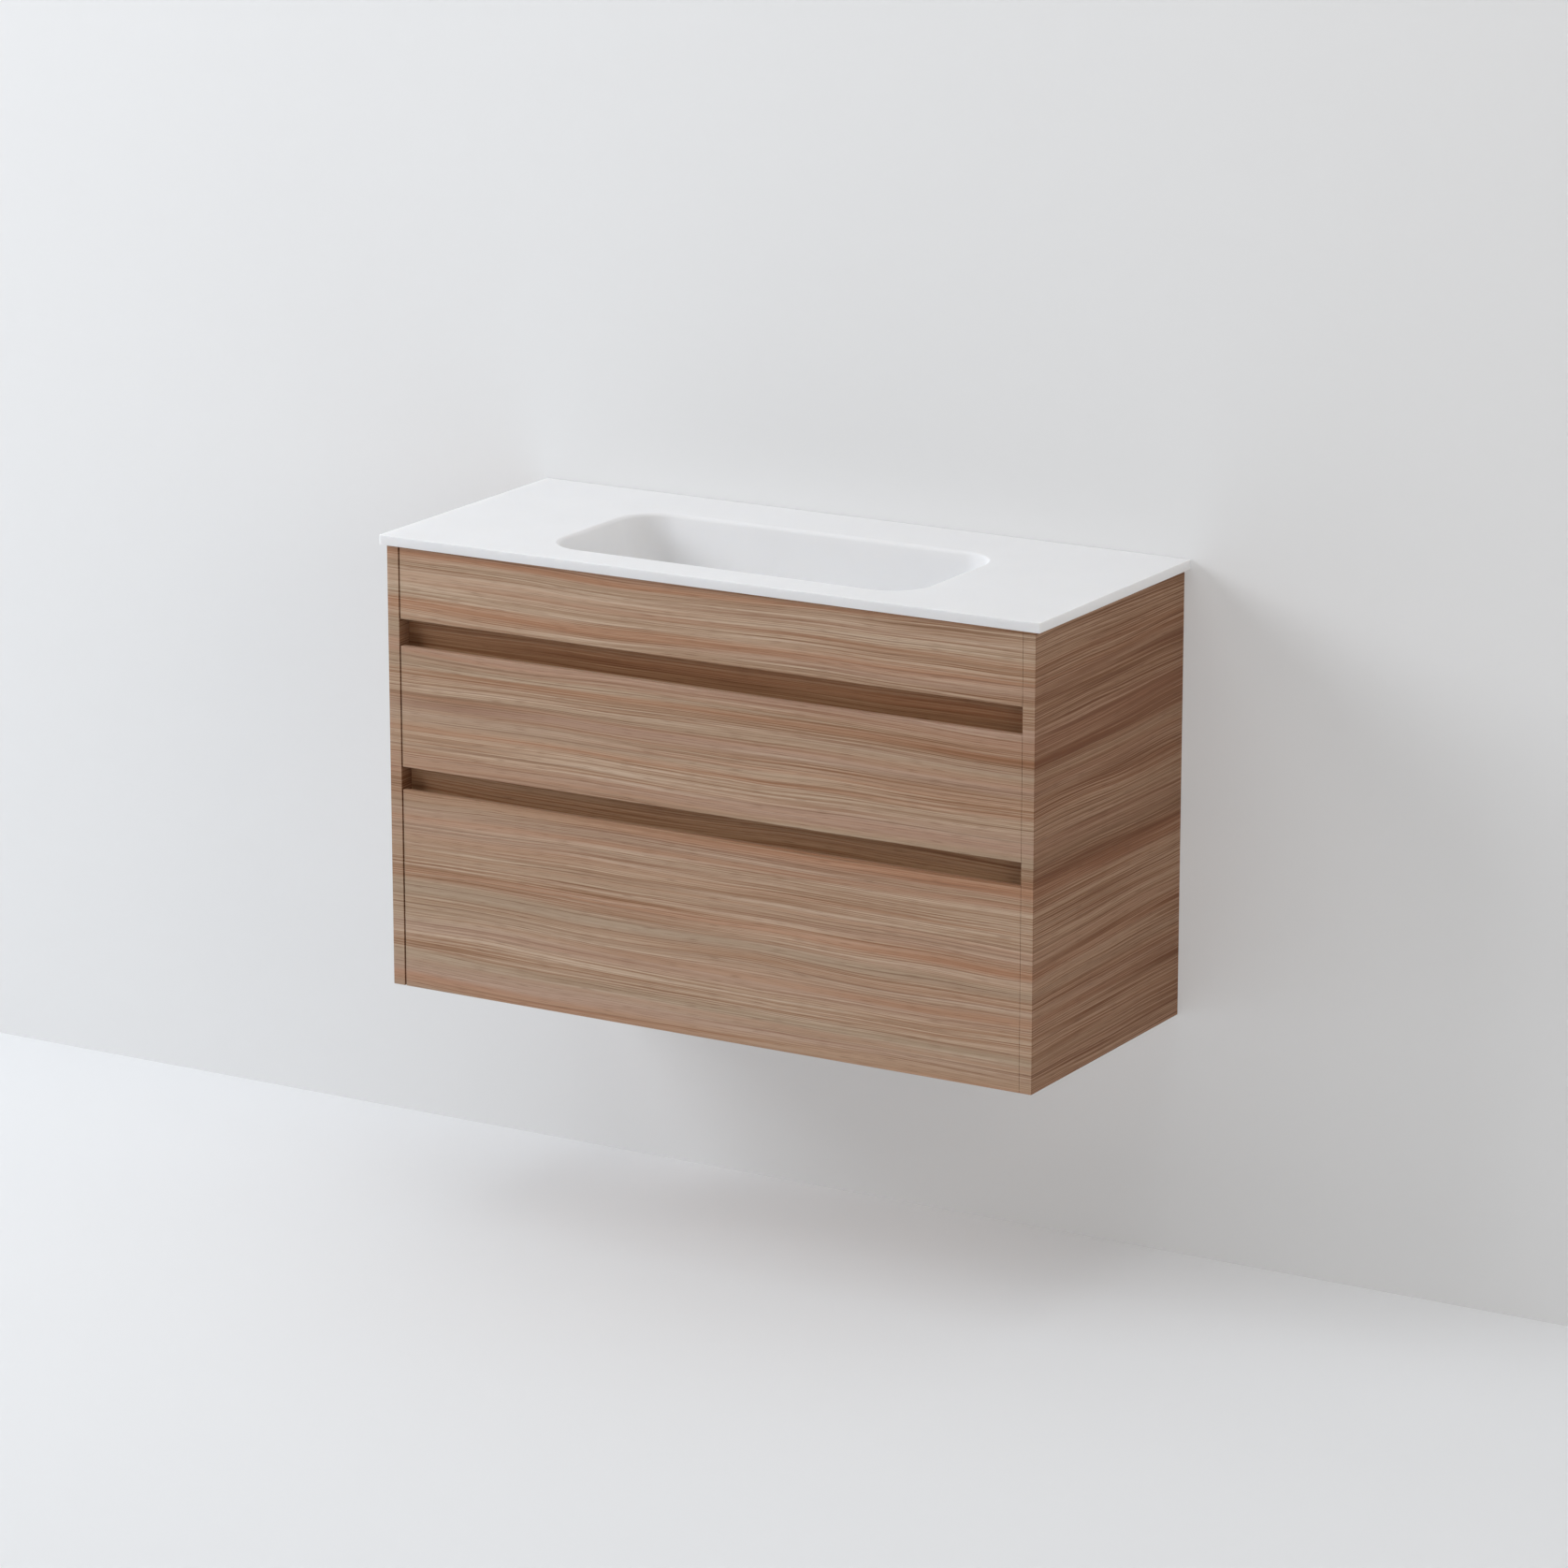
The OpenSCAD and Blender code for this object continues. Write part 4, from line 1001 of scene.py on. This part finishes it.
def build_nut():
    low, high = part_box("waste_backnut")
    flats, corners = sorted(((high.x - low.x) / 2, (high.y - low.y) / 2))
    inner = TAIL_HOLE_R

    def hexagon(r, z, angle):
        """Flats at the outer wall, chamfered where the outline is narrower."""
        if r <= inner + 0.5 * MM:
            return r, z
        off = (angle + math.pi / 6) % (math.pi / 3) - math.pi / 6
        return min(r, flats / math.cos(math.pi / 6 - abs(off))), z

    outline = rounded([(inner, low.z), (flats, low.z), (corners, low.z + 1.4 * MM),
                       (corners, high.z - 2.6 * MM), (flats - 0.5 * MM, high.z - 1.6 * MM),
                       (flats - 0.5 * MM, high.z), (inner, high.z)], 0.4 * MM)
    bm = lathe(outline, 96, hexagon)
    finish_turned("waste_backnut_hex", bm, "waste_backnut", WHITE_PLASTIC, 40.0)


def build_cartridge():
    low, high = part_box("plug_cartridge")
    barrel_r = radius_of("plug_cartridge")
    stem_r = 3.05 * MM
    floor = low.z + 12 * MM
    ribs = 12
    outline = rounded([(0.01 * MM, low.z), (3 * MM, low.z), (3 * MM, low.z + 5 * MM),
                       (barrel_r, low.z + 5 * MM), (barrel_r, high.z), (stem_r, high.z),
                       (stem_r, floor), (0.01 * MM, floor)], 0.3 * MM, 2)

    def fluted(r, z, angle):
        if r > barrel_r - 0.5 * MM:
            return r - 0.25 * MM * (0.5 + 0.5 * math.cos(ribs * angle)), z
        return r, z

    bm = lathe(outline, 72, fluted)
    finish_turned("plug_cartridge_ribbed", bm, "plug_cartridge", NATURAL, 45.0)


# --- Small plastic pieces ---

def discs_along_y(node, way):
    """Places on the discs of a node, at their ends behind the way, with radius and height."""
    found = solids(node)
    size = found[0][1]
    places = [stand(middle - way * size.y / 2, way) for middle, _ in found]
    return places, size.x / 2, size.y


def build_buffers():
    places, radius, height = discs_along_y("front_buffers", -BACK)
    outline = [(0, 0), (radius, 0), (radius, 0.35 * height)]
    outline += arc((0, 0.35 * height), radius, 8, 82, 7, 0.65 * height / radius)
    outline.append((0, height))
    unit = mesh_from(lathe(outline, 32))
    join_copies("front_buffer_domes", unit, places, "front_buffers", BROWN_PLASTIC)


def build_spacers():
    places, radius, height = discs_along_y("fascia_spacers", BACK)
    hole_r = 2.1 * MM
    outline = rounded([(hole_r, 0), (radius, 0), (radius, height), (hole_r, height)], 0.6 * MM)
    unit = mesh_from(lathe(outline, 40))
    join_copies("fascia_spacer_rings", unit, places, "fascia_spacers", NATURAL)


def dress_hidden_nodes():
    """CAD nodes that stay as they are and only get their finish."""
    for assembly in ("carcass", "upper_drawer", "lower_drawer"):
        for kind, material in (("dowels", BEECH), ("cam_bolts", STEEL)):
            mesh = frame["nodes"][f"{assembly}_{kind}"].data
            mesh.materials.clear()
            mesh.materials.append(material)


build_boards()
build_basin_top()
build_runners()
build_screws("cabinet_member_screws", "cabinet_member_screw_set", inward, PAN_SCREW)
for level in ("upper", "lower"):
    build_screws(f"drawer_member_{level}_screws", f"drawer_member_{level}_screw_set", outward,
                 PAN_SCREW)
    build_screws(f"{level}_drawer_box_screws", f"{level}_drawer_box_screw_set", outward, SUNK_SCREW)
    build_cams(f"{level}_drawer_cam_discs", f"{level}_drawer_cam_set")
build_screws("fascia_screws", "fascia_screw_set", backward, SUNK_SCREW)
build_cams("carcass_cam_discs", "carcass_cam_set")
build_waste()
build_plug()
build_seals()
build_nut()
build_cartridge()
build_buffers()
build_spacers()
dress_hidden_nodes()


# --- Stage, light and camera ---

FLOOR_Z = -0.578        # the top lies 865 mm above the floor
WALL_GAP = 1.5 * MM
STAGE_REACH = 7.0
WALL_TOP = 4.0
GLOW = (0.615, 0.62, 0.625)
GLOW_SHARE = 0.30
AMBIENT = 0.11          # light of the world
REAR_LEVEL = 0.85       # what the camera and reflections see of it
LIT_POINT = Vector((0, -0.19, 0))
NEUTRAL = (1.0, 1.0, 1.0)
COOL = (0.97, 1.0, 1.04)
WARM = (1.0, 0.935, 0.86)
# Softboxes: (name, direction from the vanity, distance, diameter, watts, colour)
LIGHTS = (("key_light", (-0.70, -0.54, 0.47), 4.5, 2.0, 77.0, COOL),
          ("left_light", (-0.90, -0.27, 0.33), 8.0, 3.6, 150.0, COOL),
          ("right_light", (0.85, -0.42, 0.30), 6.0, 3.5, 82.0, WARM),
          ("top_light", (0.0, -0.30, 0.95), 3.36, 3.0, 37.0, NEUTRAL),
          ("rear_light_left", (-0.70, 0.65, 0.30), 4.0, 2.5, 22.0, NEUTRAL),
          ("rear_light_right", (0.70, 0.65, 0.30), 4.0, 2.5, 20.0, NEUTRAL))
# The photograph's viewpoint, solved from corners of the cabinet and the top
VIEW_PLACE = (3.7459, -6.5242, 1.9607)
VIEW_WAY = (-0.49123, 0.83194, -0.25802)
VIEW_ROLL = -0.00061
VIEW_LENS, VIEW_SENSOR = 145.56, 36.0
VIEW_END = 100.0


def add_sheet(name, cells, material):
    """A flat mesh of four-cornered cells."""
    mesh = bpy.data.meshes.new(name)
    corners = [corner for cell in cells for corner in cell]
    mesh.from_pydata(corners, [], [range(4 * k, 4 * k + 4) for k in range(len(cells))])
    mesh.materials.append(material)
    new_object(name, mesh)


def plaster(name, colour, one_sided=False):
    """A pale finish with a glow that only the camera and reflections see. A one-sided sheet
    shows from its front only."""
    g = Graph(name, Roughness=0.9, Specular_IOR_Level=0.15)
    cloud = g.noise(g.place, 2.0, 0.5, 0.7)
    dull = tuple(0.985 * c for c in colour)
    g.paint(g.ramp(cloud, ((0.3, dull), (0.7, colour))))
    path = g.add("LightPath").outputs
    seen = g.math("MAXIMUM", path["Is Camera Ray"],
                  g.math("MAXIMUM", path["Is Glossy Ray"], path["Is Transmission Ray"]))
    glow = g.add("Emission", GLOW).outputs[0]
    share = g.math("MULTIPLY", seen, GLOW_SHARE)
    surface = g.add("MixShader", share, g.shader.outputs[0], glow).outputs[0]
    if one_sided:
        rear = g.add("NewGeometry").outputs["Backfacing"]
        clear = g.add("BsdfTransparent").outputs[0]
        surface = g.add("MixShader", rear, surface, clear).outputs[0]
    output = next(n for n in g.tree.nodes if n.type == "OUTPUT_MATERIAL")
    g.feed(output.inputs["Surface"], surface)
    return g.owner


def build_stage():
    """A floor, and a wall that is open behind the vanity so that its back gets light too."""
    r = STAGE_REACH
    ground = [(-r, -r, FLOOR_Z), (r, -r, FLOOR_Z), (r, r, FLOOR_Z), (-r, r, FLOOR_Z)]
    add_sheet("stage_floor", [ground], plaster("stage_floor", (0.905, 0.925, 0.948)))
    panel_low, panel_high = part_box("side_panel_right")
    slab_low, slab_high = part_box("top_slab")
    panel_w, slab_w = panel_high.x - MM, slab_high.x - MM
    across = (-r, -slab_w, -panel_w, panel_w, slab_w, r)
    up = (FLOOR_Z, panel_low.z + MM, slab_low.z, slab_high.z - MM, WALL_TOP)
    cells = []
    for column, (x0, x1) in enumerate(zip(across, across[1:])):
        for row, (z0, z1) in enumerate(zip(up, up[1:])):
            behind_cabinet = column == 2 and row == 1
            behind_slab = column in (1, 2, 3) and row == 2
            if not (behind_cabinet or behind_slab):
                cells.append([(x0, WALL_GAP, z0), (x1, WALL_GAP, z0), (x1, WALL_GAP, z1),
                              (x0, WALL_GAP, z1)])
    add_sheet("stage_wall", cells, plaster("stage_wall", (0.862, 0.865, 0.869), True))


def build_world():
    g = Graph("studio", "worlds", "Background", Color=NEUTRAL)
    bpy.context.scene.world = g.owner
    path = g.add("LightPath").outputs
    seen = g.math("MAXIMUM", path["Is Camera Ray"], path["Is Glossy Ray"])
    level = g.remap(seen, 0.0, 1.0, AMBIENT, REAR_LEVEL, smooth=False)
    g.feed(g.shader.inputs["Strength"], level)


def build_lights():
    for name, way, distance, size, power, colour in LIGHTS:
        lamp = bpy.data.lights.new(name, "AREA")
        lamp.shape = "DISK"
        lamp.size = size
        lamp.energy = power
        lamp.color = colour
        arm = Vector(way).normalized() * distance
        obj = new_object(name, lamp)
        obj.location = LIT_POINT + arm
        obj.rotation_euler = (-arm).to_track_quat("-Z", "Y").to_euler()


def build_camera():
    camera = new_object("camera", bpy.data.cameras.new("camera"))
    camera.data.sensor_width = VIEW_SENSOR
    camera.data.lens = VIEW_LENS
    camera.data.clip_end = VIEW_END
    forward = Vector(VIEW_WAY).normalized()
    right = (forward.cross(UP).normalized() + VIEW_ROLL * UP).normalized()
    up = right.cross(forward)
    turn = Matrix((right, up, -forward)).transposed().to_4x4()
    camera.matrix_world = Matrix.Translation(VIEW_PLACE) @ turn
    bpy.context.scene.camera = camera


build_stage()
build_world()
build_lights()
build_camera()
bpy.context.scene.view_settings.view_transform = "Standard"
